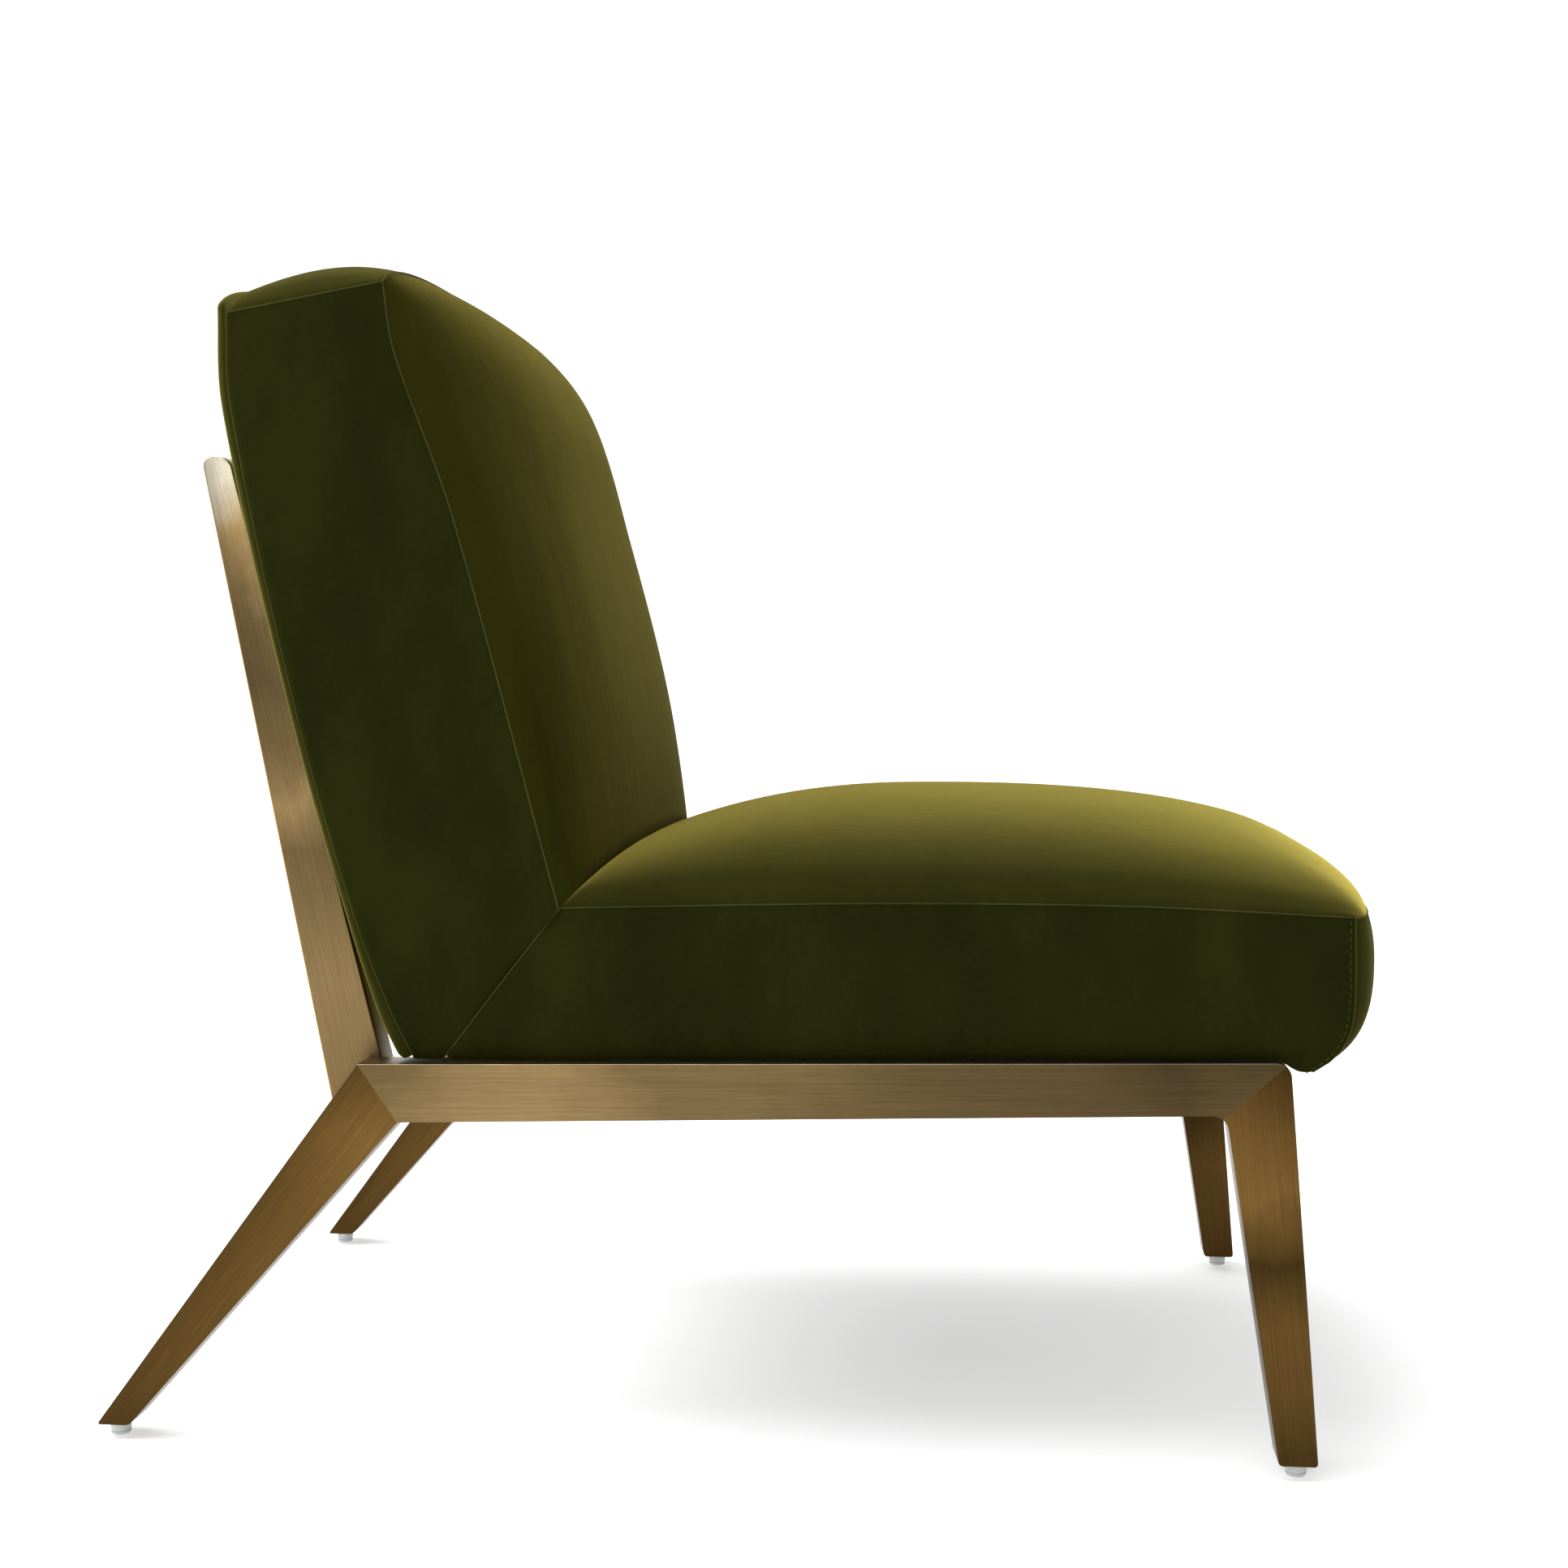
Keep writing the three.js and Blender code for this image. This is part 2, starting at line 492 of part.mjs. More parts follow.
function addBackFrame() {
  const { half, low, high, front, rear, width } = BACK_TIMBER;
  let panel = pillow(panelCells, panelPlace);
  for (const [side, sign] of [['right', -1], ['left', 1]]) {
    const x = [sign * half, sign * (half - width)].sort((a, b) => a - b);
    let stile = block(x[0], x[1], front, rear, low, high);
    BACK_BOLT_UP.forEach((up, i) => {
      const seat = boltHeadSeat(up);
      const spot = [sign * (innerFace - UPRIGHT_BAR / 2), seat, up];
      const length = seat - front - 4;
      const drill = boltShape(length, GAP).rotate([90, 0, 0]).translate(spot);
      stile = stile.subtract(drill);
      panel = panel.subtract(fromBack(drill));
      const bolt = boltShape(length).rotate([90, 0, 0]).translate(spot);
      addPiece(`${side}_${i === 0 ? 'lower' : 'upper'}_back_bolt`, bolt, STEEL, backFrame);
    });
    addPiece(`back_frame_${side}`, stile, TIMBER, backFrame);
  }
  const inside = half - width - GAP;
  addPiece('back_frame_top', block(-inside, inside, front, rear, high - width, high), TIMBER, backFrame);
  addPiece('back_frame_bottom', block(-inside, inside, front, rear, low, low + width), TIMBER, backFrame);
  for (let i = 0; i < BACK_STRAPS.count; i += 1) {
    const up = BACK_STRAPS.first + i * BACK_STRAPS.pitch - BACK_STRAPS.width / 2;
    const strap = block(
      -half + 3, half - 3, front - GAP - STRAP_THICKNESS, front - GAP, up, up + BACK_STRAPS.width);
    addPiece(`back_webbing_${i + 1}`, strap, STRAP, backFrame);
  }
  const room = block(-half - 1, half + 1, front - 2 * GAP - STRAP_THICKNESS, 80, low - 1, high + 1);
  const foam = pillow(backCells, backPlace(foamSkin, 0)).subtract(fromBack(room));
  addPiece('back_foam', foam, FOAM);
  addPiece('outside_back_panel', panel, VELVET);
}

addSeatDeck();
addBackFrame();

export default chair;
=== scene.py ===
"""Looks of a low armless lounge chair: brushed brass side frames and a velvet seat and back."""
import json
import math

import bpy
from mathutils import Matrix, Vector


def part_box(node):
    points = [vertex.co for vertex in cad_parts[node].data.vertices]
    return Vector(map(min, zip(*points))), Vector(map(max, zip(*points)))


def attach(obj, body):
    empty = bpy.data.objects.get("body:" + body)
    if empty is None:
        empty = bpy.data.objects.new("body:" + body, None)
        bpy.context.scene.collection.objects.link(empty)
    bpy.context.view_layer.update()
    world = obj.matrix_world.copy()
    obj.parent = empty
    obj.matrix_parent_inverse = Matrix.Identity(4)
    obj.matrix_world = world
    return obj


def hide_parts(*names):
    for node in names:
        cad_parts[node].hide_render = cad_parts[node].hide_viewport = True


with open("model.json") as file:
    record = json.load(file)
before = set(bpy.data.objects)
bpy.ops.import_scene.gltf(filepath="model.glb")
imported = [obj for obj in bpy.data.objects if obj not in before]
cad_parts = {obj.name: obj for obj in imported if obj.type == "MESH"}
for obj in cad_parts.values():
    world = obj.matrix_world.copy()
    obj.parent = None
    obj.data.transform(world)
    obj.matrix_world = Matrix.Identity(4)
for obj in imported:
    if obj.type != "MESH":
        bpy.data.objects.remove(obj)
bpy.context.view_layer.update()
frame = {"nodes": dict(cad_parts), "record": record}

# ---- sizes in metres, as the frame has them; outlines are (y, z) ----
BAR = 0.030
UPRIGHT_BAR = 0.028
FRAME_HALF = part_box("right_side_rail")[0][0] * -1
FOOT_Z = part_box("right_rear_leg")[0][2]
TOP_FRONT = (-0.3685, 0.2775)
TOP_REAR = (0.256, 0.266)
UNDER_FRONT = (-0.3275, 0.242)
UNDER_REAR = (0.2285, 0.2265)
FRONT_FOOT = (-0.389, -0.3635)
REAR_FOOT = (0.444, 0.421)
UPRIGHT_LOW = (0.2386, 0.2823, 0.229)
UPRIGHT_HIGH = (0.3493, 0.3695, 0.6725)
CORNER_RADIUS = 0.009
FOOT_ROUND = 0.0025
EDGE_ROUND = 0.0014
HEAD_RADIUS = 0.006
HEAD_DEPTH = 0.0044
SHANK_RADIUS = 0.003

# ---- the upholstered body ----
SEAM_HALF = 0.262  # x of the side seams
SIDE_BULGE = 0.005
SEAT_LIFT = 0.0006  # the cover lies this far above the rails
LINING_TUCK = 0.0030
TUCK_RIM = 0.945  # share of the half width where the tuck begins
TUCK_Y = -0.387
NOSE_DROOP = 0.0085  # the underside hangs this far in front of the rails
DROOP_Y = -0.3585
DROOP_LENGTH = 0.019
MITRE_LOW = (0.200, 0.2677)  # the seat and the back meet in one sloping plane
MITRE_HIGH = (0.118, 0.373)
MITRE_GAP = 0.0002
MITRE_ROWS = 0.2  # share of the back's rows that lie on the mitre
FRONT_CROWN = 0.031  # how far the nose bulges
NOSE_CROWDING = 0.75  # how strongly the seat's rows crowd towards the nose
SEAT_SEAM = [(-0.416, 0.372), (-0.268, 0.378), (-0.086, 0.378), (0.118, 0.373)]  # (y, z) points
CREST_Y = -0.040  # where the seat's crown is highest
CREST = 0.065
CREST_FALL = 0.028  # how much lower the crown is where it meets the back
NOSE_FACE = -0.4105
NOSE_TUCK = 0.0265  # how far the nose's lower edge is drawn in
NOSE_WIDEST = 0.7  # share of the height at which the nose bulges most
NOSE_LOW_SHARE = 0.34
NOSE_TOP_SHARE = 0.78

# ---- the back, as (z, y) points ----
BACK_FRONT = [(0.373, 0.118), (0.636, 0.189), (0.750, 0.230), (0.796, 0.237)]
BACK_MIDDLE = [(0.410, 0.089), (0.520, 0.104), (0.655, 0.137), (0.755, 0.165), (0.803, 0.203), (0.818, 0.234)]
BACK_SEAM = [(0.268, 0.219), (0.300, 0.235), (0.370, 0.261), (0.520, 0.302), (0.715, 0.344), (0.777, 0.346)]
TOP_PUFF = 0.016
REAR_CROWN = 0.033
PANEL_LOW, PANEL_HIGH = 0.268, 0.779  # the closing panel's height range
PANEL_GAP = 0.0016
PANEL_DEPTH = 0.008  # from the rear seam to the panel's rear face
PANEL_LOW_DEPTH = 0.012  # the same at its foot
PANEL_FOOT = 0.110
PANEL_INSET = 0.0005
PANEL_ROUND = 0.0045
PANEL_PUFF = 0.006
PUFF_RIM, PUFF_FADE = 0.8, 0.5  # the puff starts at this share of the half width, and fades over this
CROWN_START = 0.84  # share of the height from which the panel's top follows the crown
PANEL_CROWDING = 0.85

# ---- cloth ----
SIM_FRAMES = 20
PRESSURE = 3.5
PUFF_CAP = 0.0028  # no point of a cushion goes further than this
SEAM_RADIUS = 0.0005

# ---- light and camera ----
WORLD_LIGHT = (0.25, 1.0)
FRONT_TO_REAR = (0.35, 1.65)
FLOOR_GLOW = 0.38
OVERHEAD_POWER = 140
FILL_POWER = 40
CAMERA_PLACE = (-1.6930, -0.1782, 0.5264)
CAMERA_YAW, CAMERA_PITCH = 5.7155, -2.7293  # degrees
CAMERA_LENS = 49.41

# ---- how strongly each velvet panel glows at a grazing view: copies of one velvet, whose sheen is set apart as painted light and shade ----
SEAT_SHEEN = 1.0
BACK_SHEEN = 0.20
SIDE_SHEEN = 0.25
NOSE_SHEEN = 0.12
PANEL_SHEEN = 0.8


def smooth(t):
    t = min(max(t, 0.0), 1.0)
    return t * t * (3 - 2 * t)


def mix(a, b, t):
    return a + (b - a) * t


def along(profile, key):
    """A smooth curve through (key, value) points, read at a key."""
    if key <= profile[0][0]:
        return profile[0][1]
    if key >= profile[-1][0]:
        return profile[-1][1]
    i = next(n for n, point in enumerate(profile) if point[0] >= key)
    (k0, a), (k1, b) = profile[i - 1], profile[i]
    before = profile[i - 2] if i > 1 else profile[i - 1]
    after = profile[i + 1] if i + 1 < len(profile) else profile[i]
    slope0 = (b - before[1]) / (k1 - before[0])
    slope1 = (after[1] - a) / (after[0] - k0)
    t, step = (key - k0) / (k1 - k0), k1 - k0
    return ((2 * t ** 3 - 3 * t ** 2 + 1) * a + (t ** 3 - 2 * t ** 2 + t) * step * slope0
            + (3 * t ** 2 - 2 * t ** 3) * b + (t ** 3 - t ** 2) * step * slope1)


# ---- modelling helpers ----
def start(name):
    """Names the primitive that was just added and opens it for editing."""
    piece = bpy.context.object
    piece.name = piece.data.name = name
    bpy.ops.object.mode_set(mode="EDIT")
    return piece


def finish_edit():
    bpy.ops.mesh.select_all(action="SELECT")
    bpy.ops.mesh.normals_make_consistent(inside=False)
    bpy.ops.object.mode_set(mode="OBJECT")


def settle(piece):
    """Leaves the piece at the origin, unturned and unscaled, with its place in its mesh."""
    bpy.ops.object.select_all(action="DESELECT")
    piece.select_set(True)
    bpy.context.view_layer.objects.active = piece
    bpy.ops.object.transform_apply(location=True, rotation=True, scale=True)


def choose(piece, kind, wanted):
    """Selects the vertices, edges or faces that a test picks, in edit mode."""
    bpy.ops.mesh.select_all(action="DESELECT")
    bpy.ops.mesh.select_mode(type={"vertices": "VERT", "edges": "EDGE", "polygons": "FACE"}[kind])
    bpy.ops.object.mode_set(mode="OBJECT")
    for part in getattr(piece.data, kind):
        part.select = wanted(part)
    bpy.ops.object.mode_set(mode="EDIT")


def plate(name, outline, x):
    """A flat outline of (y, z) corners at x, left open for editing."""
    bpy.ops.object.select_all(action="DESELECT")
    bpy.ops.mesh.primitive_circle_add(vertices=len(outline), radius=0.1, fill_type="NGON")
    piece = bpy.context.object
    for vertex, (y, z) in zip(piece.data.vertices, outline):
        vertex.co = (x, y, z)
    start(name)
    return piece


def round_corners(piece, corners, radius, segments):
    near = [Vector((0, *c)) for c in corners]
    choose(piece, "vertices", lambda v: any((Vector((0, *v.co.yz)) - c).length < 1e-5 for c in near))
    bpy.ops.mesh.bevel(offset=radius, segments=segments, affect="VERTICES", profile=0.5)


def pull_across(depth):
    bpy.ops.mesh.select_all(action="SELECT")
    bpy.ops.mesh.extrude_region_move(TRANSFORM_OT_translate={"value": (depth, 0, 0)})
    bpy.ops.mesh.select_all(action="SELECT")
    bpy.ops.mesh.normals_make_consistent(inside=False)


def soften_edges(width=EDGE_ROUND, segments=3):
    bpy.ops.mesh.select_mode(type="EDGE")
    bpy.ops.mesh.select_all(action="DESELECT")
    bpy.ops.mesh.edges_select_sharp(sharpness=math.radians(28))
    bpy.ops.mesh.bevel(offset=width, segments=segments, profile=0.5, affect="EDGES", clamp_overlap=True)


def cut(point, normal, keep_front):
    """Cuts the open piece along a plane and closes it, keeping one side."""
    bpy.ops.mesh.select_all(action="SELECT")
    bpy.ops.mesh.bisect(plane_co=point, plane_no=normal, use_fill=True,
                        clear_inner=keep_front, clear_outer=not keep_front)


def shade(piece, degrees=30):
    bpy.ops.object.select_all(action="DESELECT")
    piece.select_set(True)
    bpy.context.view_layer.objects.active = piece
    bpy.ops.object.shade_smooth_by_angle(angle=math.radians(degrees))


def copy_of(piece, name):
    twin = piece.copy()
    twin.data = piece.data.copy()
    twin.name = twin.data.name = name
    bpy.context.collection.objects.link(twin)
    return twin


def dress(piece, material, slot, *nodes):
    if material:
        piece.data.materials.clear()
        piece.data.materials.append(material)
    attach(piece, "root")
    if nodes:
        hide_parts(*nodes)


# ---- materials ----
class Look:
    """A Principled material and the few node chains that the finishes share."""

    def __init__(self, name, **sockets):
        self.material = bpy.data.materials.new(name)
        self.material.use_nodes = True
        self.tree = self.material.node_tree
        self.shader = self.tree.nodes["Principled BSDF"]
        for socket, value in sockets.items():
            self.shader.inputs[socket.replace("_", " ").title()].default_value = value
        self.bump = None

    def node(self, kind, **inputs):
        made = self.tree.nodes.new(kind)
        for name, value in inputs.items():
            self.plug(value, made.inputs[name.replace("_", " ").title()])
        return made

    def plug(self, value, socket):
        if isinstance(value, bpy.types.NodeSocket):
            self.tree.links.new(value, socket)
        else:
            socket.default_value = value

    def place(self, scale=(1, 1, 1), turn=(0, 0, 0), shift=(0, 0, 0)):
        where = self.tree.nodes.new("ShaderNodeTexCoord").outputs["Object"]
        turned = self.node("ShaderNodeMapping", Vector=where, Rotation=turn, Location=shift)
        return self.node("ShaderNodeMapping", Vector=turned.outputs["Vector"], Scale=scale).outputs["Vector"]

    def noise(self, where, scale, detail=3.0, roughness=0.55):
        made = self.node("ShaderNodeTexNoise", Vector=where, Scale=scale, Detail=detail, Roughness=roughness)
        return made.outputs["Fac"]

    def ramp(self, fac, stops):
        made = self.tree.nodes.new("ShaderNodeValToRGB")
        self.plug(fac, made.inputs["Fac"])
        ramp = made.color_ramp
        while len(ramp.elements) < len(stops):
            ramp.elements.new(0.5)
        for element, (position, colour) in zip(ramp.elements, stops):
            element.position = position
            element.color = (*colour, 1) if not isinstance(colour, float) else (colour,) * 3 + (1,)
        return made.outputs["Color"]

    def blend(self, fac, a, b, mode="MIX"):
        made = self.tree.nodes.new("ShaderNodeMix")
        made.data_type, made.blend_type = "RGBA", mode
        sockets = {s.identifier: s for s in made.inputs}
        self.plug(fac, sockets["Factor_Float"])
        for value, key in ((a, "A_Color"), (b, "B_Color")):
            value = (*value, 1) if isinstance(value, tuple) and len(value) == 3 else value
            self.plug(value, sockets[key])
        return next(s for s in made.outputs if s.identifier == "Result_Color")

    def add(self, a, b):
        made = self.tree.nodes.new("ShaderNodeMath")
        self.plug(a, made.inputs[0])
        self.plug(b, made.inputs[1])
        return made.outputs["Value"]

    def span(self, fac, low, high):
        made = self.node("ShaderNodeMapRange", Value=fac, To_Min=low, To_Max=high)
        return made.outputs["Result"]

    def raise_by(self, height, distance, strength=1.0):
        made = self.node("ShaderNodeBump", Height=height, Distance=distance, Strength=strength)
        if self.bump:
            self.plug(self.bump, made.inputs["Normal"])
        self.bump = made.outputs["Normal"]
        self.plug(self.bump, self.shader.inputs["Normal"])


def velvet(name, shadow, middle, bright, sheen, tint, grain=(1, 1, 0.55)):
    look = Look(name, sheen_weight=sheen, sheen_roughness=0.40)
    look.shader.inputs["Sheen Tint"].default_value = (*tint, 1)
    look.shader.inputs["Specular IOR Level"].default_value = 0.02
    place = look.place()
    nap = look.noise(look.place(scale=grain), 11, 6, 0.66)
    folds = look.noise(look.place(scale=(0.5, 1, 0.7), shift=(0.3, 0.1, 0)), 7, 2, 0.4)
    fine = look.noise(place, 260, 2, 0.5)
    pile = look.noise(place, 1500, 2, 0.6)
    colour = look.ramp(nap, [(0.36, shadow), (0.50, middle), (0.64, bright)])
    colour = look.blend(look.span(fine, 0.0, 0.30), colour, (0.030, 0.022, 0.006))
    colour = look.blend(look.span(pile, 0.0, 0.35), colour, shadow)
    look.plug(colour, look.shader.inputs["Base Color"])
    look.plug(look.span(nap, 0.78, 0.95), look.shader.inputs["Roughness"])
    look.raise_by(folds, 0.010, 0.25)
    look.raise_by(nap, 0.0016, 0.5)
    look.raise_by(pile, 0.0006, 0.35)
    return look.material


def brass(name, start, end, tones, across=False, rear_glint=False):
    """Antique brushed brass: grain along a member from start to end, and tones in order along it that hold
    patina together with painted light and shade; faces turned up or down get a painted highlight or painted
    shade.
    """
    look = Look(name, metallic=1.0)
    angle = math.atan2(end[1] - start[1], end[0] - start[0])
    turn = (0, 0, math.pi / 2) if across else (-angle, 0, 0)
    streak = look.noise(look.place(scale=(1100, 12, 1100), turn=turn), 1.0, 4, 0.7)
    hair = look.noise(look.place(scale=(1900, 22, 1900), turn=turn), 1.0, 2, 0.5)
    cloudy = look.noise(look.place(scale=(1, 0.6, 1), turn=turn), 14, 4, 0.6)
    walk = look.node("ShaderNodeSeparateXYZ", Vector=look.place(turn=turn)).outputs["Y"]
    reach = [p[0] * math.cos(angle) + p[1] * math.sin(angle) for p in (start, end)]
    if across:
        reach = [-FRAME_HALF, FRAME_HALF]
    walk = look.node("ShaderNodeMapRange", Value=walk, From_Min=reach[0], From_Max=reach[1]).outputs["Result"]
    drift = look.node("ShaderNodeMapRange", Value=cloudy, From_Min=0.3, From_Max=0.7,
                      To_Min=-0.05, To_Max=0.05).outputs["Result"]
    walk = look.add(walk, drift)
    last = len(tones) - 1
    colour = look.ramp(walk, [(i / last, tone) for i, tone in enumerate(tones)])
    dim = look.node("ShaderNodeMapRange", Value=streak, From_Min=0.3, From_Max=0.7,
                    To_Min=0.80, To_Max=1.16).outputs["Result"]
    colour = look.blend(1.0, colour, dim, "MULTIPLY")
    normal = look.node("ShaderNodeSeparateXYZ",
                       Vector=look.tree.nodes.new("ShaderNodeTexCoord").outputs["Normal"])
    facing = normal.outputs["Z"]
    # painted shade: faces turned downwards are darkened towards a dark brown
    underside_shade_mask = look.node("ShaderNodeMapRange", Value=facing, From_Min=-0.35, From_Max=-0.85,
                      To_Min=0.0, To_Max=0.8).outputs["Result"]
    colour = look.blend(underside_shade_mask, colour, PAINTED_UNDERSIDE_SHADE)
    # painted highlight: faces turned upwards, most of all the upper bevels, are lightened where the light
    # from above catches them
    above = look.ramp(facing, [(0.30, 0.0), (0.55, 0.55), (0.85, 0.45), (0.97, 0.10)])
    colour = look.blend(above, colour, PAINTED_EDGE_HIGHLIGHT)
    if rear_glint:
        # painted highlight: on the uprights, bevels turned to the rear get a golden glint where the light
        # from behind catches them
        behind = look.ramp(normal.outputs["Y"], [(0.30, 0.0), (0.50, 0.8), (0.80, 0.8), (0.94, 0.0)])
        colour = look.blend(behind, colour, PAINTED_REAR_EDGE_GLINT)
    look.plug(colour, look.shader.inputs["Base Color"])
    look.plug(look.span(hair, 0.24, 0.46), look.shader.inputs["Roughness"])
    look.raise_by(streak, 0.0003, 0.4)
    look.raise_by(hair, 0.0001, 0.35)
    return look.material


def plastic(name, colour):
    look = Look(name, roughness=0.42)
    look.shader.inputs["Subsurface Weight"].default_value = 0.3
    look.shader.inputs["Subsurface Radius"].default_value = (0.004, 0.004, 0.004)
    haze = look.noise(look.place(), 160, 3)
    look.plug(look.blend(haze, colour, tuple(c * 0.86 for c in colour)), look.shader.inputs["Base Color"])
    look.raise_by(haze, 0.0003, 0.3)
    return look.material


def steel(name):
    look = Look(name, metallic=1.0, roughness=0.4)
    wear = look.noise(look.place(), 220, 4)
    look.plug(look.ramp(wear, [(0.3, (0.02, 0.02, 0.022)), (0.75, (0.10, 0.095, 0.09))]),
              look.shader.inputs["Base Color"])
    look.plug(look.span(wear, 0.3, 0.55), look.shader.inputs["Roughness"])
    return look.material


def timber(name):
    look = Look(name, roughness=0.7)
    ring = look.noise(look.place(scale=(3, 60, 60)), 1.0, 4)
    look.plug(look.ramp(ring, [(0.3, (0.30, 0.17, 0.075)), (0.7, (0.52, 0.34, 0.18))]),
              look.shader.inputs["Base Color"])
    look.raise_by(ring, 0.0004)
    return look.material


def woven(name, dark, light, pitch):
    look = Look(name, roughness=0.9)
    weave = look.node("ShaderNodeTexChecker", Vector=look.place(), Scale=1 / pitch)
    fleck = look.noise(look.place(), 600, 2)
    colour = look.blend(weave.outputs["Fac"], dark, light)
    look.plug(look.blend(look.span(fleck, 0, 0.4), colour, dark), look.shader.inputs["Base Color"])
    look.raise_by(weave.outputs["Fac"], 0.0002)
    return look.material


def foam_look(name):
    look = Look(name, roughness=1.0)
    cells = look.noise(look.place(), 700, 3)
    look.plug(look.ramp(cells, [(0.3, (0.55, 0.47, 0.27)), (0.7, (0.80, 0.72, 0.48))]),
              look.shader.inputs["Base Color"])
    look.raise_by(cells, 0.0008)
    return look.material


RAIL_TILT = math.atan2(TOP_FRONT[1] - TOP_REAR[1], TOP_REAR[0] - TOP_FRONT[0])
BACK_LEAN = math.atan2(UPRIGHT_HIGH[0] - UPRIGHT_LOW[0], UPRIGHT_HIGH[2] - UPRIGHT_LOW[2])
BRASS_COLOUR = (0.118, 0.080, 0.034)
LEG_COLOUR = (0.095, 0.053, 0.014)
# painted reflection: the pale top of the uprights stands in for a bright light reflected there
PAINTED_TOP_REFLECTION = (0.55, 0.50, 0.38)
# painted highlight colour for the upward bevels
PAINTED_EDGE_HIGHLIGHT = (0.62, 0.54, 0.40)
# painted glint colour for the uprights' rear-facing bevels
PAINTED_REAR_EDGE_GLINT = (0.60, 0.33, 0.05)
# painted shade colour for the downward faces
PAINTED_UNDERSIDE_SHADE = (0.050, 0.026, 0.011)


def shades(colour, *steps):
    """A member's tones in order along it, as lighter and darker steps of one colour: patina together with
    painted light and shade.
    """
    return [tuple(channel * step for channel in colour) for step in steps]


# painted light and shade: each member's steps are lighter where a highlight or reflection falls and darker
# where it lies in shade, together with darker patina near its joints
RAIL_PATINA_AND_SHADE = shades(BRASS_COLOUR, 0.8, 0.5, 0.7, 0.75, 0.9, 1.2, 1.2, 1.95, 1.8, 1.0)
FRONT_LEG_PATINA_AND_SHADE = shades(LEG_COLOUR, 0.6, 0.95, 1.0, 0.45, 1.5, 1.2, 0.6)
REAR_LEG_PATINA_AND_SHADE = shades(LEG_COLOUR, 0.55, 0.75, 0.9, 1.0, 1.1, 1.5, 1.0)
UPRIGHT_PATINA_AND_SHADE = shades(BRASS_COLOUR, 1.35, 1.4, 1.55, 1.25, 1.0, 2.0, 1.05, 0.8, 1.0, 2.6) + [PAINTED_TOP_REFLECTION]

# painted light and shade: copies of one velvet, with darker tones on the sides, lighter tones on the back,
# nose and closing panel, and more or less sheen on each, for how the light falls on it
NAP_TONES = ((0.0095, 0.0125, 0.0014), (0.0140, 0.0172, 0.0019), (0.0205, 0.0210, 0.0027))
BACK_NAP_TONES = ((0.0150, 0.0170, 0.0014), (0.0215, 0.0230, 0.0021), (0.0300, 0.0285, 0.0030))
SIDE_SHADED_NAP_TONES = ((0.0066, 0.0096, 0.0008), (0.0108, 0.0142, 0.0013), (0.0175, 0.0190, 0.0022))
SEAT_VELVET = velvet("velvet_seat", *NAP_TONES, SEAT_SHEEN, (0.80, 0.655, 0.125))
BACK_VELVET = velvet("velvet_back", *BACK_NAP_TONES, BACK_SHEEN, (0.90, 0.72, 0.10), (2.4, 1, 0.3))
SIDE_VELVET = velvet("velvet_side", *SIDE_SHADED_NAP_TONES, SIDE_SHEEN, (0.85, 0.80, 0.14))
NOSE_VELVET = velvet("velvet_nose", *BACK_NAP_TONES, NOSE_SHEEN, (0.85, 0.74, 0.14))
PANEL_VELVET = velvet("velvet_panel", *BACK_NAP_TONES, PANEL_SHEEN, (0.85, 0.76, 0.16))
SEAM_VELVET = velvet("velvet_seam", (0.026, 0.030, 0.007), (0.040, 0.044, 0.011), (0.056, 0.060, 0.016),
                     0.3, (0.80, 0.70, 0.20))
FRONT_LEG_LINE = ((sum(FRONT_FOOT) / 2, FOOT_Z), (mix(TOP_FRONT[0], UNDER_FRONT[0], 0.5), TOP_FRONT[1]))
REAR_LEG_LINE = ((sum(REAR_FOOT) / 2, FOOT_Z), (mix(TOP_REAR[0], UNDER_REAR[0], 0.5), TOP_REAR[1]))
UPRIGHT_LINE = ((mix(UPRIGHT_LOW[0], UPRIGHT_LOW[1], 0.5), UPRIGHT_LOW[2]),
                (mix(UPRIGHT_HIGH[0], UPRIGHT_HIGH[1], 0.5), UPRIGHT_HIGH[2]))
BRASS_RAIL = brass("brass_rail", TOP_FRONT, TOP_REAR, RAIL_PATINA_AND_SHADE)
BRASS_FRONT_LEG = brass("brass_front_leg", *FRONT_LEG_LINE, FRONT_LEG_PATINA_AND_SHADE)
BRASS_REAR_LEG = brass("brass_rear_leg", *REAR_LEG_LINE, REAR_LEG_PATINA_AND_SHADE)
BRASS_UPRIGHT = brass("brass_upright", *UPRIGHT_LINE, UPRIGHT_PATINA_AND_SHADE, rear_glint=True)
BRASS_CROSS = brass("brass_cross_rail", (0, 0), (0, 1), RAIL_PATINA_AND_SHADE[:5], across=True)
GLIDE = plastic("glide_plastic", (0.62, 0.64, 0.62))
BOLT = steel("bolt_black")
NODE_LOOKS = {
    "antique_brass": BRASS_CROSS,
    "velvet": BACK_VELVET,
    "glide_plastic": GLIDE,
    "bolt_steel": BOLT,
    "timber": timber("beech_frame"),
    "webbing": woven("webbing_weave", (0.012, 0.011, 0.010), (0.05, 0.045, 0.04), 0.0025),
    "lining": woven("black_lining", (0.006, 0.006, 0.006), (0.014, 0.014, 0.014), 0.0012),
    "foam": foam_look("foam_cells"),
}


def dress_cad_nodes():
    slots = {s["node"]: s["material_slot"] for s in frame["record"]["subparts"]}
    for node, piece in frame["nodes"].items():
        look = NODE_LOOKS[slots[node]]
        if not piece.material_slots:
            piece.data.materials.append(look)
        for slot in piece.material_slots:
            slot.material = look


